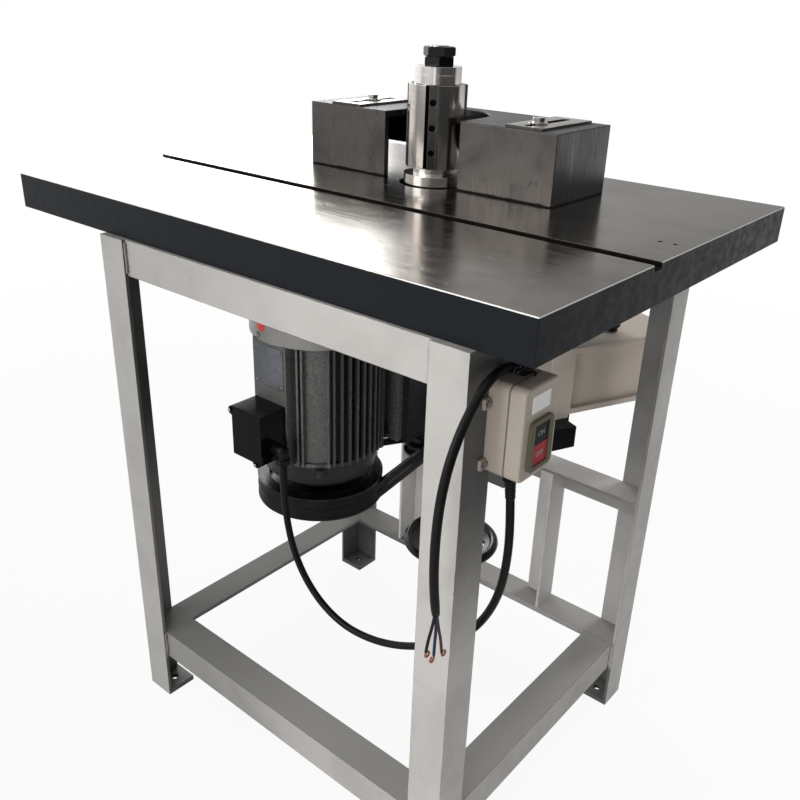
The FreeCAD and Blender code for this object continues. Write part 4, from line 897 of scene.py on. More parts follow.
@dataclass(frozen=True)
class Moulded(Finish):
    """Moulded plastic with a fine skin, handling marks, softened edges, and a seam where two halves meet."""

    colour: Colour
    soil: Colour
    roughness: float
    scale: float
    relief: float = 0.03
    soil_level: float = 0.5
    edge_radius: float = 0.0012
    edge_amount: float = 0.3
    specular: float = 0.35
    seam_x: Optional[float] = None

    def shade(self, s: Surface) -> None:
        """Soil in broad patches, pale edges that are rubbed wear and a painted highlight, and a fine grain.

        Args:
            s: the surface to finish.
        """
        soil = s.blots(scale=28.0, level=self.soil_level, soft=0.3)
        speck = s.spots(scale=160.0, size=0.14, level=0.58)
        worn, normal = s.wear(self.edge_radius, 110.0, self.edge_amount)
        # Pale edges: rubbed wear, and a painted highlight along the edges.
        colour = s.layers(self.colour, (s.times(soil, 0.65), self.soil), (s.times(speck, 0.5), self.soil),
                          (s.times(worn, 0.7), scaled(self.colour, 1.5, 0.02)))
        skin = s.mottle(self.scale, rough=0.6)
        if self.seam_x is not None:
            seam = s.span(s.apart(s.split(s.place)[0], self.seam_x), 0.0014, 0.0006)
            colour = s.tint(s.times(seam, 0.75), colour, scaled(self.soil, 0.2))
            skin = s.minus(skin, s.times(seam, 6.0))
        s.look(colour, s.span(soil, 0.0, 1.0, self.roughness, self.roughness + 0.09), specular=self.specular)
        s.emboss(skin, self.relief, 0.0003, normal)


@dataclass(frozen=True)
class Rubber(Finish):
    """Rubber or soft plastic with a drawn surface and a little dust."""

    colour: Colour
    dusty: Colour
    roughness: float
    stretch: Point
    scale: float
    relief: float
    specular: float = 0.35

    def shade(self, s: Surface) -> None:
        """Fine lines in relief, dust in soft patches.

        Args:
            s: the surface to finish.
        """
        lines = s.lines(self.stretch, self.scale)
        dust = s.blots(scale=40.0, level=0.52, soft=0.3)
        colour = s.tint(s.times(dust, 0.4), self.colour, self.dusty)
        rough = s.span(lines, 0.3, 0.7, self.roughness - 0.08, self.roughness + 0.12)
        s.look(colour, rough, specular=self.specular)
        s.emboss(lines, self.relief, 0.0003)


class Finishes:
    """The finishes of this machine, named for what they cover."""

    # The stand paint carries painted shade on faces towards the middle of the stand, by the switch and towards the
    # left.
    STAND = Paint(
        "stand_silver_paint", srgb(194, 191, 187), srgb(180, 177, 173), srgb(78, 77, 75), srgb(96, 96, 94),
        srgb(140, 137, 132), metallic=0.1, edge_amount=0.46, speck_scale=150.0, speck_size=0.14, dust_and_top_shading_level=0.66,
        relief_scale=380.0, inward_shade=0.9, painted_shade_colour=srgb(38, 40, 40), left_shade=0.26)
    # A lighter copy of the stand paint: painted light on the rear posts.
    POSTS = replace(STAND, name="post_silver_paint", colour=srgb(210, 207, 203), shade_colour=srgb(195, 192, 188),
                    inward_shade=0.0, left_shade=0.0)
    # Mid rail: the lighter post paint is painted light, its pale top colour keeps the top light, and strong painted
    # shade darkens its web under the flange.
    MID_RAIL = replace(POSTS, name="mid_rail_silver_paint", dust_and_top_shading_colour=srgb(214, 211, 207), inward_shade=1.55)
    # A low dust level spreads the darker dust colour nearly evenly over the rail tops: painted shade there.
    RAILS = Paint(
        "rail_silver_paint", srgb(188, 185, 181), srgb(170, 167, 163), srgb(70, 69, 67), srgb(70, 69, 67),
        srgb(162, 160, 156), roughness=0.36, metallic=0.16, edge_amount=0.5, speck_scale=230.0, speck_size=0.17,
        speck_level=0.48, dust_and_top_shading_level=0.12, relief_scale=520.0, relief=0.24, inward_shade=0.5, left_shade=0.5)
    # Darker grey than the stand paint: painted shade on the foot plates within each leg's angle.
    FEET = Paint(
        "foot_plate_shaded_grey", srgb(104, 104, 102), srgb(84, 84, 82), srgb(56, 55, 54), srgb(50, 50, 49),
        srgb(92, 90, 87), metallic=0.1, speck_scale=160.0, dust_and_top_shading_level=0.5, relief=0.14)
    CASTING = Paint(
        "black_cast_paint", srgb(30, 31, 32), srgb(22, 23, 24), srgb(84, 82, 79), srgb(14, 14, 14),
        srgb(64, 61, 57), roughness=0.36, edge_radius=0.0016, edge_amount=0.36, speck_size=0.18,
        relief_scale=260.0, relief=0.26, specular=0.22)
    BRACKET = Paint(
        "bracket_grey_paint", srgb(84, 84, 82), srgb(66, 66, 64), srgb(134, 132, 128), srgb(40, 40, 39),
        srgb(104, 99, 93), edge_radius=0.0016, speck_level=0.55, dust_and_top_shading_level=0.55, relief_scale=300.0, relief=0.2)
    COVER = Paint(
        "fan_cover_paint", srgb(140, 138, 135), srgb(124, 122, 119), srgb(64, 64, 63), srgb(66, 66, 65),
        srgb(138, 134, 128), roughness=0.34, metallic=0.2, edge_radius=0.0012, edge_amount=0.3, speck_scale=150.0,
        speck_size=0.12, speck_level=0.58, relief_scale=500.0, relief=0.08)
    # The pale edge colour, wide and strong here, is a painted highlight along the box's edges and lip.
    CASE = Paint(
        "case_beige_paint", srgb(204, 192, 180), srgb(189, 177, 165), srgb(236, 229, 219), srgb(120, 110, 100),
        srgb(116, 108, 99), roughness=0.4, edge_radius=0.0026, edge_amount=0.75, speck_scale=120.0,
        speck_size=0.12, speck_level=0.6, dust_and_top_shading_level=0.66, relief=0.06)

    TABLE = TableIron("table_ground_iron")
    FENCE = FenceIron("fence_ground_iron")
    ENAMEL = Enamel("motor_hammer_enamel", fin_r=0.0985)
    # A darker copy of the motor enamel: painted shade on the end shields.
    SHIELD = Enamel("shield_hammer_enamel", srgb(48, 48, 47), srgb(38, 38, 37))

    CLAMP = Steel("clamp_bright_steel", srgb(214, 212, 208), srgb(150, 146, 140), 0.16, (6.0, 6.0, 1.0), 140.0)
    ZINC = Steel("zinc_bolts", srgb(188, 188, 184), srgb(126, 124, 118), 0.26, (3.0, 3.0, 3.0), 160.0, 0.5)
    KNIFE = Steel("knife_steel", srgb(150, 150, 148), srgb(112, 112, 110), 0.2, (6.0, 6.0, 1.0), 160.0)
    SCREWS = Steel("gib_screw_oxide", srgb(34, 34, 35), srgb(18, 18, 19), 0.4, (2.0, 2.0, 2.0), 200.0)
    BRASS = Steel("nut_brass", srgb(196, 160, 88), srgb(140, 108, 56), 0.28, (3.0, 3.0, 1.0), 150.0)
    BEARING = Steel("bearing_steel", srgb(190, 190, 190), srgb(140, 140, 140), 0.2, (3.0, 3.0, 3.0), 200.0)
    LAMINATION = Steel("stator_laminations", srgb(96, 96, 98), srgb(60, 60, 62), 0.4, (1.0, 1.0, 30.0), 90.0)
    PLATE = Steel("plate_aluminium", srgb(150, 153, 158), srgb(116, 119, 125), 0.36, (1.0, 1.0, 14.0), 90.0, 0.5)
    COPPER = Steel("copper_strand", srgb(206, 136, 106), srgb(150, 86, 62), 0.22, (4.0, 4.0, 1.0), 400.0)

    SPINDLE = TurnedSteel("spindle_turned_steel", SPINDLE_AXIS, srgb(246, 242, 237), srgb(200, 194, 188), 0.18)
    BLOCK = TurnedSteel("cutter_block_steel", SPINDLE_AXIS, srgb(212, 206, 200), srgb(160, 154, 148), 0.15,
                        recess_r=0.0416)
    GIB = TurnedSteel("gib_ground_steel", SPINDLE_AXIS, srgb(138, 136, 133), srgb(96, 94, 92), 0.22, recess_r=0.0372)
    OXIDE = TurnedSteel("black_oxide_steel", SPINDLE_AXIS, srgb(52, 54, 56), srgb(30, 31, 32), 0.24, scale=700.0,
                        relief=0.06)
    PULLEY = TurnedSteel("pulley_iron", MOTOR_AXIS, srgb(46, 46, 46), srgb(22, 22, 22), 0.3, metallic=0.8,
                         scale=500.0, relief=0.06)
    SMALL_PULLEY = replace(PULLEY, name="spindle_pulley_iron", axis=SPINDLE_AXIS, colour=srgb(60, 59, 58),
                           dark=srgb(30, 30, 29), roughness=0.32)
    SCREW = TurnedSteel("lift_screw_steel", SCREW_AXIS, srgb(170, 166, 160), srgb(96, 90, 84), 0.26, scale=1200.0,
                        relief=0.3)

    WHEEL = Moulded("handwheel_black", srgb(14, 14, 15), srgb(34, 33, 32), 0.2, 500.0, soil_level=0.56,
                    edge_radius=0.0016, edge_amount=0.25, specular=0.28)
    BOX_BLACK = Moulded("terminal_gloss_black", srgb(9, 9, 10), srgb(24, 23, 22), 0.14, 240.0, relief=0.012,
                        soil_level=0.58, edge_radius=0.001, edge_amount=0.12, specular=0.1)
    GLAND = Moulded("gland_black", srgb(14, 14, 14), srgb(40, 38, 37), 0.34, 700.0, relief=0.06, soil_level=0.54,
                    edge_radius=0.001, edge_amount=0.2, specular=0.2)
    BAR = replace(GLAND, name="bar_black", colour=srgb(14, 14, 15), soil=srgb(34, 33, 32), scale=400.0)
    KNOB = Moulded("knob_black", srgb(12, 12, 13), srgb(34, 33, 32), 0.14, 600.0, soil_level=0.58)
    SWITCH = Moulded("switch_beige", srgb(170, 160, 149), srgb(168, 156, 145), 0.3, 520.0, relief=0.04,
                     soil_level=0.52, edge_radius=0.0018, edge_amount=0.34, specular=0.45, seam_x=0.410)
    BEZEL = Moulded("bezel_khaki", srgb(88, 86, 67), srgb(64, 62, 49), 0.4, 700.0, relief=0.06)
    BUTTON_ON = Moulded("button_black", srgb(9, 9, 12), srgb(26, 25, 28), 0.26, 600.0, soil_level=0.56,
                        edge_radius=0.0008, edge_amount=0.2, specular=0.12)
    BUTTON_OFF = replace(BUTTON_ON, name="button_red", colour=srgb(160, 26, 40), soil=srgb(120, 22, 32),
                         roughness=0.28, soil_level=0.54, specular=0.25)
    LETTER = Moulded("letter_white", srgb(148, 148, 150), srgb(116, 116, 120), 0.45, 900.0, edge_radius=0.0002)
    LABEL = Moulded("label_paper", srgb(234, 232, 228), srgb(206, 202, 195), 0.5, 1200.0, edge_radius=0.0003)
    DOT = Moulded("dot_red", srgb(206, 58, 52), srgb(170, 46, 42), 0.4, 900.0, soil_level=0.52, edge_radius=0.0003)

    CORD = Rubber("cord_rubber", srgb(14, 14, 14), srgb(36, 35, 34), 0.36, (1.0, 1.0, 1.0), 800.0, 0.06, 0.2)
    BELT = Rubber("belt_rubber", srgb(18, 18, 18), srgb(44, 43, 41), 0.5, (1.0, 1.0, 5.0), 420.0, 0.2, 0.2)
    CORE_BLACK = Rubber("core_black", srgb(14, 14, 14), srgb(34, 34, 34), 0.3, (1.0, 1.0, 0.2), 900.0, 0.05)
    CORE_BLUE = replace(CORE_BLACK, name="core_blue", colour=srgb(28, 35, 76), dusty=srgb(42, 48, 84), roughness=0.32)
    CORE_BROWN = replace(CORE_BLUE, name="core_brown", colour=srgb(72, 42, 34), dusty=srgb(88, 58, 48))


# Sub-assemblies

Dressing = Sequence[tuple[Finish, str]]


@dataclass
class SubAssembly:
    """CAD nodes with their finishes, and the new pieces that go with them."""

    dressing: Dressing = ()

    def build(self) -> None:
        """Dresses the nodes of each finish, then adds the new pieces."""
        for finish, nodes in self.dressing:
            for name in nodes.split():
                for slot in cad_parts[name].material_slots:
                    slot.material = finish.material()
                log.info("node %s: %s", name, finish.name)
        self.fit()

    def fit(self) -> None:
        """Adds no piece, where the CAD nodes are all there is."""


@dataclass
class Stand(SubAssembly):
    """Angle-iron stand with its weld beads."""

    dressing: Dressing = (
        (Finishes.STAND, "front_legs rear_legs top_rail_front top_rail_rear top_side_rails"),
        (Finishes.POSTS, "rear_posts"), (Finishes.MID_RAIL, "mid_rail"),
        (Finishes.RAILS, "bottom_rail_front bottom_rail_rear bottom_side_rails"),
        (Finishes.FEET, "foot_plates"), (Finishes.ZINC, "frame_bolts"))
    left: float = -0.231
    right: float = 0.380
    front: float = -0.3275
    rear: float = 0.1915
    flange: float = 0.045
    rail_depth: float = 0.05
    rail_tops: Pair = (0.133, 0.790)
    mid_top: float = 0.405
    bead: float = 0.0021
    pitch: float = 0.0042
    lip: float = 0.0014
    wander: float = 0.0004
    clear_low: float = 0.004
    clear_high: float = 0.003

    def seam(self, x: float, y: float, top: float) -> Skin:
        """Upright weld bead: a small round profile whose radius ripples with the height.

        Args:
            x, y: the corner it fills.
            top: top of the rail.
        Returns:
            The bead.
        """
        z = np.linspace(top - self.rail_depth + self.clear_low, top - self.clear_high, 48)
        ripple = 1.0 + 0.16 * np.sin(FULL_TURN * z / self.pitch) + 0.12 * np.sin(190.0 * z + 31.0 * x)
        ripple[[0, -1]] *= 0.4
        path = np.column_stack([x + self.wander * np.sin(260.0 * z), y + self.wander * np.cos(230.0 * z), z])
        return swept(path, self.bead * ripple, sides=10)

    def fit(self) -> None:
        """Lays a bead at each end of each rail."""
        ends_x = (self.left + self.flange + self.lip, self.right - self.flange - self.lip)
        ends_y = (self.front + self.flange + self.lip, self.rear - self.flange - self.lip)
        corners = [(x, y) for x in ends_x for y in (self.front - self.lip, self.rear + self.lip)]
        corners += [(x, y) for y in ends_y for x in (self.left - self.lip, self.right + self.lip)]
        beads = [self.seam(x, y, top) for x, y in corners for top in self.rail_tops]
        beads.append(self.seam(ends_x[1], self.rear + self.lip, self.mid_top))
        Skin.joined(beads).piece("weld_beads", Finishes.RAILS, "frame", "rail_paint")


@dataclass
class Table(SubAssembly):
    """Ground table."""

    dressing: Dressing = ((Finishes.TABLE, "table_top"),)


@dataclass
class Fence(SubAssembly):
    """Fence casting and its clamp bolts."""

    dressing: Dressing = ((Finishes.FENCE, "fence_casting"), (Finishes.CLAMP, "fence_bolts"))


@dataclass
class Spindle(SubAssembly):
    """Spindle with cutter block, collars and nuts."""

    dressing: Dressing = (
        (Finishes.SPINDLE, "spindle_shaft spindle_collars"), (Finishes.BLOCK, "cutter_block"),
        (Finishes.GIB, "cutter_gibs"), (Finishes.KNIFE, "cutter_knives"), (Finishes.SCREWS, "cutter_screws"),
        (Finishes.OXIDE, "lock_nuts"))


@dataclass
class LiftGear(SubAssembly):
    """Column, carriage, lift screw and handwheel."""

    dressing: Dressing = (
        (Finishes.CASTING, "lift_column carriage"), (Finishes.BRACKET, "screw_bracket"),
        (Finishes.SCREW, "lead_screw"), (Finishes.BRASS, "lift_nut"), (Finishes.WHEEL, "handwheel"),
        (Finishes.BEARING, "spindle_bearings bearing_caps"))


@dataclass
class Drive(SubAssembly):
    """Pulleys and belts."""

    dressing: Dressing = (
        (Finishes.PULLEY, "motor_pulley"), (Finishes.SMALL_PULLEY, "spindle_pulley"), (Finishes.BELT, "drive_belts"))


@dataclass
class RearBox(SubAssembly):
    """Beige box behind the stand, with its bar and its knob."""

    dressing: Dressing = (
        (Finishes.CASE, "rear_box"), (Finishes.BAR, "box_mount"), (Finishes.KNOB, "box_knob"))


@dataclass
class Motor(SubAssembly):
    """Foot motor with cover screws, lid screws, plate rivets and a plain dot; domes are radius and height pairs."""

    dressing: Dressing = (
        (Finishes.ENAMEL, "motor_frame"), (Finishes.SHIELD, "motor_end_shields"), (Finishes.COVER, "fan_cover"),
        (Finishes.ZINC, "motor_bolts"), (Finishes.BEARING, "motor_bearings"),
        (Finishes.LAMINATION, "stator rotor_shaft"), (Finishes.BAR, "cooling_fan"),
        (Finishes.BOX_BLACK, "terminal_box terminal_lid"), (Finishes.GLAND, "terminal_gland"),
        (Finishes.PLATE, "nameplate"))
    cover_r: float = 0.101
    screw_z: float = 0.6615
    screw_turns: Sequence[float] = (-102.0, -12.0, 78.0, 168.0)
    screw_dome: Sequence[Pair] = (
        (0.0042, -0.0006), (0.0042, 0.0012), (0.00336, 0.0021), (0.00189, 0.0026), (0.00084, 0.0027))
    lid_y: float = -0.2672
    lid_screws: Sequence[Pair] = ((-0.063, 0.559), (-0.013, 0.488))
    lid_dome: Sequence[Pair] = ((0.0026, 0.0), (0.0026, 0.0009), (0.002, 0.0015), (0.001, 0.0018), (0.0003, 0.0018))
    plate_x: Pair = (-0.059, -0.003)
    plate_z: Pair = (0.590, 0.650)
    plate_y: float = -0.2195
    rivet_inset: float = 0.0035
    rivet_dome: Sequence[Pair] = (
        (0.0018, -0.0003), (0.0018, 0.0003), (0.00135, 0.0008), (0.00063, 0.0011), (0.00018, 0.00115))
    dot_turn: float = -98.0
    dot_z: float = 0.6775
    dot_r: float = 0.0088
    dot_t: float = 0.0003

    def on_cover(self, turn: float) -> tuple[Array, Array]:
        """Place and outward direction of a screw on the fan cover.

        Args:
            turn: angle about the motor in degrees.
        Returns:
            The place and the direction.
        """
        a = math.radians(turn)
        out = np.array([math.cos(a), math.sin(a), 0.0])
        return np.array([*MOTOR_AXIS[:2], self.screw_z]) + self.cover_r * out, out

    def heads(self, name: str, finish: Finish, slot: str, dome: Sequence[Pair], places: Sequence, sides: int) -> None:
        """Adds domed heads as one piece."""
        Skin.joined([turned(dome, at, out, sides) for at, out in places]).piece(name, finish, "carriage", slot)

    def dot(self) -> None:
        """Adds a plain round sticker to the cover: a disc of rings, of little thickness, wrapped round the cylinder."""
        ring = np.array([1.0, 1.0, 0.66, 0.33, 0.02])[:, None] * self.dot_r
        reach = self.cover_r + np.array([-0.0005] + 4 * [self.dot_t])[:, None]
        a = around(40)
        turn = math.radians(self.dot_turn) + ring * np.cos(a) / self.cover_r
        rings = np.stack([MOTOR_AXIS[0] + reach * np.cos(turn), MOTOR_AXIS[1] + reach * np.sin(turn),
                          self.dot_z + ring * np.sin(a)], -1)
        Skin.of_rings(rings).piece("plain_dot", Finishes.DOT, "carriage", "cover_paint")

    def fit(self) -> None:
        """Adds screw heads, rivets and the dot."""
        on_cover = [self.on_cover(turn) for turn in self.screw_turns]
        self.heads("cover_screws", Finishes.ZINC, "zinc_bolt", self.screw_dome, on_cover, 20)
        on_lid = [((x, self.lid_y, z), TO_FRONT) for x, z in self.lid_screws]
        self.heads("lid_screws", Finishes.CLAMP, "zinc_bolt", self.lid_dome, on_lid, 18)
        columns = (self.plate_x[0] + self.rivet_inset, self.plate_x[1] - self.rivet_inset)
        rows = (self.plate_z[0] + self.rivet_inset, self.plate_z[1] - self.rivet_inset)
        on_plate = [((x, self.plate_y, z), TO_FRONT) for x in columns for z in rows]
        self.heads("plate_rivets", Finishes.ZINC, "plate_alu", self.rivet_dome, on_plate, 16)
        self.dot()


@dataclass
class PushSwitch(SubAssembly):
    """Push-button switch with lettered buttons, a bare label and loose leads (reach, rise, side swing and X)."""

    dressing: Dressing = (
        (Finishes.SWITCH, "switch_base switch_cover"), (Finishes.BEZEL, "switch_bezel"),
        (Finishes.BUTTON_ON, "on_button"), (Finishes.BUTTON_OFF, "off_button"), (Finishes.BAR, "contact_block"),
        (Finishes.ZINC, "switch_screws"), (Finishes.GLAND, "switch_glands"))
    face_x: float = 0.4290
    button_x: float = 0.4315
    mid_y: float = -0.2625
    on_z: float = 0.6959
    off_z: float = 0.6721
    letter: float = 0.0082
    letter_half_t: float = 0.00015
    letter_gap: float = 0.0001
    label_y: Pair = (-0.2815, -0.2475)
    label_z: Pair = (0.7215, 0.7405)
    label_levels: Pair = (-0.0004, 0.0003)
    label_power: float = 24.0
    lead_r: float = 0.0014
    lead_y: float = -0.2850
    lead_z: float = 0.7610
    lead_drop: float = 0.011
    leads_at: Sequence[tuple[float, float, float, float]] = (
        (0.036, 0.0125, 0.004, 0.4085), (0.031, 0.0075, -0.003, 0.4115), (0.026, 0.0155, 0.002, 0.4055))

    def word(self, text: str, z: float, body: str) -> None:
        """Adds a raised word to a button, turned to face +X.

        Args:
            text: the word.
            z: height of its middle.
            body: the button's body.
        """
        name = text.lower() + "_word"
        curve = bpy.data.curves.new("word", "FONT")
        curve.body, curve.size, curve.extrude = text, self.letter, self.letter_half_t
        curve.align_x, curve.align_y = "CENTER", "CENTER"
        mesh, flat = curve_mesh(curve)
        mesh.name = name
        x = self.button_x + self.letter_gap + flat[:, 2]
        placed = np.column_stack([x, self.mid_y + flat[:, 0], z + flat[:, 1]])
        mesh.vertices.foreach_set("co", placed.astype(np.float32).ravel())
        mesh.update()
        mesh.materials.clear()
        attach(place_mesh(name, mesh, Finishes.LETTER), body)

    def label(self) -> None:
        """Adds a bare label: a plate of little thickness whose outline is a rounded rectangle, y^n + z^n = 1."""
        a = around(64)
        c, s, n = np.cos(a), np.sin(a), self.label_power
        size = (np.abs(c) ** n + np.abs(s) ** n) ** (-1.0 / n)
        (y0, y1), (z0, z1) = self.label_y, self.label_z
        y = (y0 + y1) / 2.0 + (y1 - y0) / 2.0 * size * c
        z = (z0 + z1) / 2.0 + (z1 - z0) / 2.0 * size * s
        rings = [np.column_stack([np.full(len(a), self.face_x + level), y, z]) for level in self.label_levels]
        Skin.of_rings(np.array(rings)).piece("bare_label", Finishes.LABEL, "frame", "switch_beige", smooth=False)

    def leads(self) -> None:
        """Adds loose leads beside the cord's entry: arches over the switch's top with a small side swing."""
        t = np.linspace(0.0, 1.0, 48)
        arches = []
        for reach, rise, swing, x in self.leads_at:
            path = np.column_stack([x + swing * np.sin(FULL_TURN * t),
                                    self.lead_y + reach * (0.5 - 0.5 * np.cos(np.pi * t)),
                                    self.lead_z + rise * np.sin(np.pi * t) - self.lead_drop * t])
            arches.append(swept(path, self.lead_r, sides=10))
        Skin.joined(arches).piece("switch_leads", Finishes.CORE_BLACK, "frame", "gland_black")

    def fit(self) -> None:
        """Adds words, label and leads."""
        self.word("ON", self.on_z, "on_push")
        self.word("OFF", self.off_z, "off_push")
        self.label()
        self.leads()


@dataclass(frozen=True)
class Core:
    """One insulated core of the supply cord: its route, and the side that its bare end curls to."""

    name: str
    finish: Finish
    route: Sequence[Point]
    curl: float


@dataclass
class Cords(SubAssembly):
    """Motor cable, supply cord and its three bare-ended cores."""

    jacket_r: float = 0.005
    cut_taper: Point = (0.98, 0.93, 0.84)
    cable: Sequence[Point] = (
        (0.0153, -0.2404, 0.4900), (0.0165, -0.2418, 0.4495), (0.0225, -0.2432, 0.4060), (0.0350, -0.2445, 0.3620),
        (0.0595, -0.2460, 0.3220), (0.0970, -0.2475, 0.2925), (0.1420, -0.2490, 0.2795), (0.1885, -0.2500, 0.2835),
        (0.2340, -0.2515, 0.2985), (0.2775, -0.2530, 0.3220), (0.3185, -0.2540, 0.3510), (0.3545, -0.2555, 0.3865),
        (0.3815, -0.2570, 0.4290), (0.3985, -0.2585, 0.4755), (0.4050, -0.2600, 0.5260), (0.4045, -0.2610, 0.5775),
        (0.4000, -0.2625, 0.6280))
    supply_x: float = 0.4
    supply: Sequence[Pair] = (
        (-0.2620, 0.7570), (-0.2820, 0.7663), (-0.3040, 0.7670), (-0.3252, 0.7592), (-0.3425, 0.7446),
        (-0.3610, 0.7228), (-0.3768, 0.6950), (-0.3872, 0.6615), (-0.3922, 0.6218), (-0.3922, 0.5800),
        (-0.3889, 0.5450), (-0.3842, 0.5190))
    core_r: float = 0.0017
    cores: Sequence[Core] = (
        Core("black", Finishes.CORE_BLACK, (
            (0.4000, -0.3863, 0.5179), (0.4000, -0.3894, 0.5055), (0.4000, -0.3953, 0.4920),
            (0.4000, -0.3980, 0.4785)), 1.0),
        Core("blue", Finishes.CORE_BLUE, (
            (0.4004, -0.3841, 0.5185), (0.4004, -0.3826, 0.4998), (0.4004, -0.3840, 0.4828),
            (0.4004, -0.3842, 0.4655)), -1.0),
        Core("brown", Finishes.CORE_BROWN, (
            (0.3996, -0.3818, 0.5181), (0.3996, -0.3780, 0.4985), (0.3996, -0.3720, 0.4788),
            (0.3996, -0.3690, 0.4590)), 1.0))
    sleeve: float = 0.024
    sleeve_r: float = 0.0062
    sleeve_taper: float = 0.001
    rib: float = 0.00045
    rib_pitch: float = 0.004
    strand_r: float = 0.00042
    strand_count: int = 6
    strand_twist: float = 1.6
    hook_r: float = 0.0031
    hook_run: float = 0.0042
    hook_sunk: float = 0.0008
    hook_turn: float = 1.45 * np.pi
    straight_share: float = 0.25

    def sleeve_on(self, name: str, path: Array, body: str) -> Piece:
        """Tapered ribbed strain relief on the start of a cord: radius falls along the path and ripples.

        Args:
            name: the piece's name.
            path: the cord's points, from the housing on.
            body: the body that carries it.
        Returns:
            The piece.
        """
        gone = np.concatenate([[0.0], np.cumsum(np.linalg.norm(np.diff(path, axis=0), axis=1))])
        s = np.linspace(0.0, self.sleeve, 49)
        line = np.column_stack([np.interp(s, gone, path[:, k]) for k in range(3)])
        ribs = self.rib * (np.sin(FULL_TURN * s / self.rib_pitch) > 0.0)
        radius = self.sleeve_r - self.sleeve_taper * s / self.sleeve + ribs
        return swept(line, radius, sides=20).piece(name, Finishes.GLAND, body, "gland_black")

    def motor_cable(self) -> None:
        """Lays the cable from the terminal box to the switch."""
        path = spline_points(self.cable)
        skin = swept(path, self.jacket_r, sides=18, across=BACK)
        piece = skin.piece("motor_cable_jacket", Finishes.CORD, None, "cord_rubber")
        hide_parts("motor_cable")
        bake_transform(piece)
        low = self.sleeve_on("cable_sleeve_switch", path[::-1], "frame")
        high = self.sleeve_on("cable_sleeve_motor", path, "carriage")

    def supply_cord(self) -> None:
        """Lays the cord out of the switch's top, hanging down, its jacket cut off above the cores."""
        path = spline_points([(self.supply_x, y, z) for y, z in self.supply])
        radius = np.full(len(path), self.jacket_r)
        radius[-3:] *= self.cut_taper
        piece = swept(path, radius, sides=18).piece("supply_cord_jacket", Finishes.CORD, "frame", "cord_rubber")
        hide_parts("supply_cord")
        sleeve = self.sleeve_on("cord_sleeve_switch", path, "frame")

    def lay_core(self, core: Core) -> tuple[Piece, Piece]:
        """One insulated core with its bare copper hook.

        Args:
            core: which core.
        Returns:
            The core's piece and its hook.
        """
        path = spline_points(core.route, steps=14)
        piece = swept(path, self.core_r, sides=12).piece("core_" + core.name, core.finish, "frame", "core_pvc")
        copper = self.hook(core, path[-1], unit(path[-1] - path[-3]))
        return piece, copper

    def hook(self, core: Core, end: Array, along: Array) -> Piece:
        """Copper strands twisted round a middle one and curled into a hook: a straight run, then part of a circle.

        Args:
            core: the core that it ends.
            end: end of the insulation.
            along: the core's direction there.
        Returns:
            The piece.
        """
        t = np.linspace(0.0, 1.0, 60)
        angle = np.clip((t - self.straight_share) / (1.0 - self.straight_share), 0.0, 1.0) * self.hook_turn
        forth = np.minimum(t / self.straight_share, 1.0) * self.hook_run + self.hook_r * np.sin(angle)
        sideways = core.curl * self.hook_r * (1.0 - np.cos(angle))
        across = unit(np.cross(along, RIGHT))
        line = end - self.hook_sunk * along + forth[:, None] * along - sideways[:, None] * across
        other = unit(np.cross(np.gradient(line, axis=0), RIGHT))
        strands = []
        for k in range(self.strand_count):
            a = FULL_TURN * (k / self.strand_count + self.strand_twist * t)[:, None]
            offset = 2.0 * self.strand_r * (np.cos(a) * RIGHT + np.sin(a) * other)
            strands.append(swept(line + offset, self.strand_r, sides=6))
        strands.append(swept(line, self.strand_r, sides=6))
        return Skin.joined(strands).piece("copper_" + core.name, Finishes.COPPER, "frame", "copper")

    def fit(self) -> None:
        """Lays the cable, the cord and the cores."""
        self.motor_cable()
        self.supply_cord()
        pieces = [self.lay_core(core) for core in self.cores]
        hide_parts("supply_cores")
        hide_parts("copper_ends")


# Studio


def stand_at(name: str, data: bpy.types.ID, axes: Sequence[Array], at: Point) -> bpy.types.Object:
    """Puts a camera or a lamp into the scene.

    Args:
        name: its name.
        data: its settings.
        axes: its own X, Y and Z.
        at: where it stands.
    Returns:
        The object.
    """
    pose = np.eye(4)
    pose[:3, :3] = np.column_stack(axes)
    pose[:3, 3] = at
    thing = bpy.data.objects.new(name, data)
    thing.matrix_world = Matrix(pose.tolist())
    bpy.context.scene.collection.objects.link(thing)
    return thing


@dataclass(frozen=True)
class Lamp:
    """A soft area lamp that the camera doesn't see; mirrored ones show in polished faces."""

    name: str
    at: Point
    aim: Point
    size: Pair
    watts: float
    mirrored: bool = True

    def hang(self) -> None:
        """Puts the lamp into the scene."""
        data = bpy.data.lights.new(self.name, "AREA")
        data.shape, data.energy = "RECTANGLE", self.watts
        data.size, data.size_y = self.size
        toward = unit(np.asarray(self.aim) - np.asarray(self.at))
        right = unit(np.cross(toward, UP))
        lamp = stand_at(self.name, data, (right, np.cross(right, toward), -toward), self.at)
        lamp.visible_camera, lamp.visible_glossy = False, self.mirrored


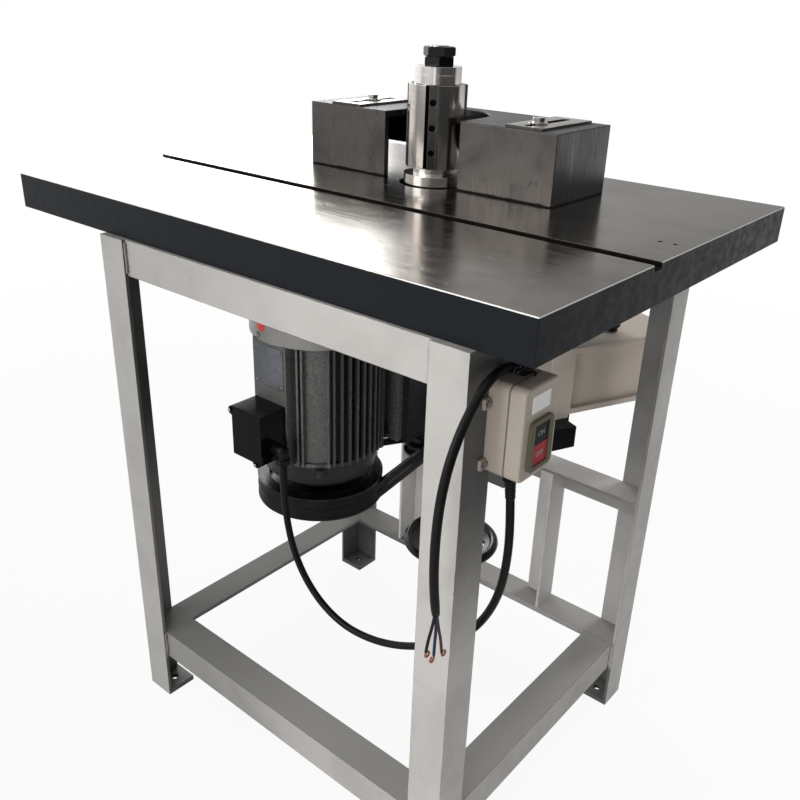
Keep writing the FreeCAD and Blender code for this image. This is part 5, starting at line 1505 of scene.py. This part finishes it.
@dataclass
class Studio:
    """Camera, floor, world and lamps."""

    focal_px: float = 872.18
    picture: float = 800.0
    sensor: float = 36.0
    clip: Pair = (0.05, 60.0)
    eye: Point = (0.8229, -0.9705, 1.0990)
    azimuth: float = math.radians(-39.31)
    elevation: float = math.radians(25.04)
    roll: float = math.radians(-1.888)
    floor_half: float = 9.0
    floor_grey: float = 0.62
    floor_dark: float = 0.07
    ambient: float = 0.62
    dim: float = 0.07
    lamps: Sequence[Lamp] = (
        Lamp("left_window", (-3.28, 2.235, 2.05), (-0.2, -0.1, 0.84), (2.13, 1.6), 56.0),
        Lamp("front_key", (-1.6, -3.2, 2.3), (0.0, -0.1, 0.5), (2.2, 1.8), 40.0),
        Lamp("front_fill", (0.95, -3.2, 0.9), (0.3, -0.1, 0.3), (1.6, 1.4), 45.0, mirrored=False),
        Lamp("front_card", (1.0, -2.75, 0.55), (0.0, 0.1, 0.9), (0.42, 1.0), 1.1),
        Lamp("rear_light", (0.6, 1.7, 2.4), (0.25, 0.15, 0.3), (0.7, 0.5), 28.0, mirrored=False),
        Lamp("right_fill", (2.8, 0.5, 0.4), (0.2, 0.0, 0.3), (1.4, 0.7), 5.5, mirrored=False))

    def camera(self) -> None:
        """Sets the camera solved from the picture: right and down turned by the roll about the line of sight."""
        level = math.cos(self.elevation)
        ahead = np.array([math.sin(self.azimuth) * level, math.cos(self.azimuth) * level, -math.sin(self.elevation)])
        right = unit(np.cross(ahead, UP))
        down = np.cross(ahead, right)
        turned_right = math.cos(self.roll) * right + math.sin(self.roll) * down
        turned_down = -math.sin(self.roll) * right + math.cos(self.roll) * down
        data = bpy.data.cameras.new("photo_camera")
        data.sensor_width = self.sensor
        data.lens = self.focal_px / self.picture * self.sensor
        data.clip_start, data.clip_end = self.clip
        axes = (turned_right, -turned_down, -ahead)
        bpy.context.scene.camera = stand_at("photo_camera", data, axes, self.eye)

    def bearings(self, g: Graph, vector: Socket) -> tuple[Socket, Socket]:
        """How far a place or a direction lies ahead of the camera and to its right.

        Args:
            g: the tree.
            vector: the place or direction.
        Returns:
            Both distances.
        """
        x, y, _ = g.split(vector)
        sine, cosine = math.sin(self.azimuth), math.cos(self.azimuth)
        ahead = g.plus(g.times(x, sine), g.times(y, cosine))
        return ahead, g.minus(g.times(x, cosine), g.times(y, sine))

    def floor(self) -> None:
        """Lays a floor that shows near white with a soft shadow, and is dark on the right in polished faces."""
        h = self.floor_half
        mesh = bpy.data.meshes.new("studio_floor")
        mesh.from_pydata([(-h, -h, 0.0), (h, -h, 0.0), (h, h, 0.0), (-h, h, 0.0)], [], [(0, 1, 2, 3)])
        floor = bpy.data.objects.new("studio_floor", mesh)
        bpy.context.scene.collection.objects.link(floor)
        paper = bpy.data.materials.new("floor_paper")
        mesh.materials.append(paper)
        g = Surface(paper)
        g.tree.nodes.remove(g.shader)
        ahead, beside = self.bearings(g, g.place)
        path = g.add("LightPath").outputs
        seen = g.times(path["Is Camera Ray"], g.span(g.vector("LENGTH", g.place), 0.9, 3.0, 0.92, 1.0))
        mirrored = g.times(path["Is Glossy Ray"], g.span(ahead, -0.2, 2.0))
        dark = g.times(path["Is Glossy Ray"], g.span(ahead, 0.5, -0.5))
        dark = g.times(dark, g.span(beside, 0.3, 1.4))
        grey = g.span(dark, 0.0, 1.0, self.floor_grey, self.floor_dark)
        card = g.add("BsdfDiffuse", {"Color": grey}).outputs[0]
        white = g.add("Emission", {"Color": WHITE, "Strength": 1.0}).outputs[0]
        mixed = g.add("MixShader", {0: g.most(seen, mirrored), 1: card, 2: white}).outputs[0]
        g.feed(g.tree.nodes["Material Output"].inputs["Surface"], mixed)

    def world(self) -> None:
        """Sets white round the object for the camera, softer behind the camera for reflections and ambient light."""
        world = bpy.data.worlds.new("studio_world")
        bpy.context.scene.world = world
        world.use_nodes = True
        g = Graph(world.node_tree)
        toward = g.add("TexCoord").outputs["Generated"]
        ahead, beside = self.bearings(g, toward)
        z = g.split(toward)[2]
        sky = g.times(g.span(ahead, -0.1, 0.4, self.dim, 1.0), g.span(beside, -0.35, 0.5, 1.0, 0.42))
        sky = g.most(sky, g.span(beside, -0.05, -0.7, self.dim, 0.8))
        sky = g.most(sky, g.span(z, 0.35, 0.85, 0.0, 0.85))
        sky = g.most(sky, g.span(z, 0.04, 0.14, 0.0, 0.2))
        path = g.add("LightPath").outputs
        seen = g.most(path["Is Camera Ray"], path["Is Transmission Ray"])
        lit = g.times(sky, g.span(path["Is Glossy Ray"], 0.0, 1.0, self.ambient, 1.0))
        back = g.tree.nodes["Background"]
        g.feed(back.inputs["Strength"], g.most(seen, lit))
        g.feed(back.inputs["Color"], WHITE)

    def build(self) -> None:
        """Sets up camera, floor, world and lamps."""
        self.camera()
        self.floor()
        self.world()
        for lamp in self.lamps:
            lamp.hang()
        bpy.context.scene.view_settings.view_transform = "Standard"


def main() -> None:
    """Builds the studio and each sub-assembly in turn."""
    logging.basicConfig(level=logging.INFO, format="%(message)s")
    for part in (Studio(), Cords(), Stand(), Table(), Fence(), Spindle(), LiftGear(), Drive(), Motor(), PushSwitch(),
                 RearBox()):
        log.info("building %s", type(part).__name__)
        part.build()


if __name__ == "__main__":
    main()
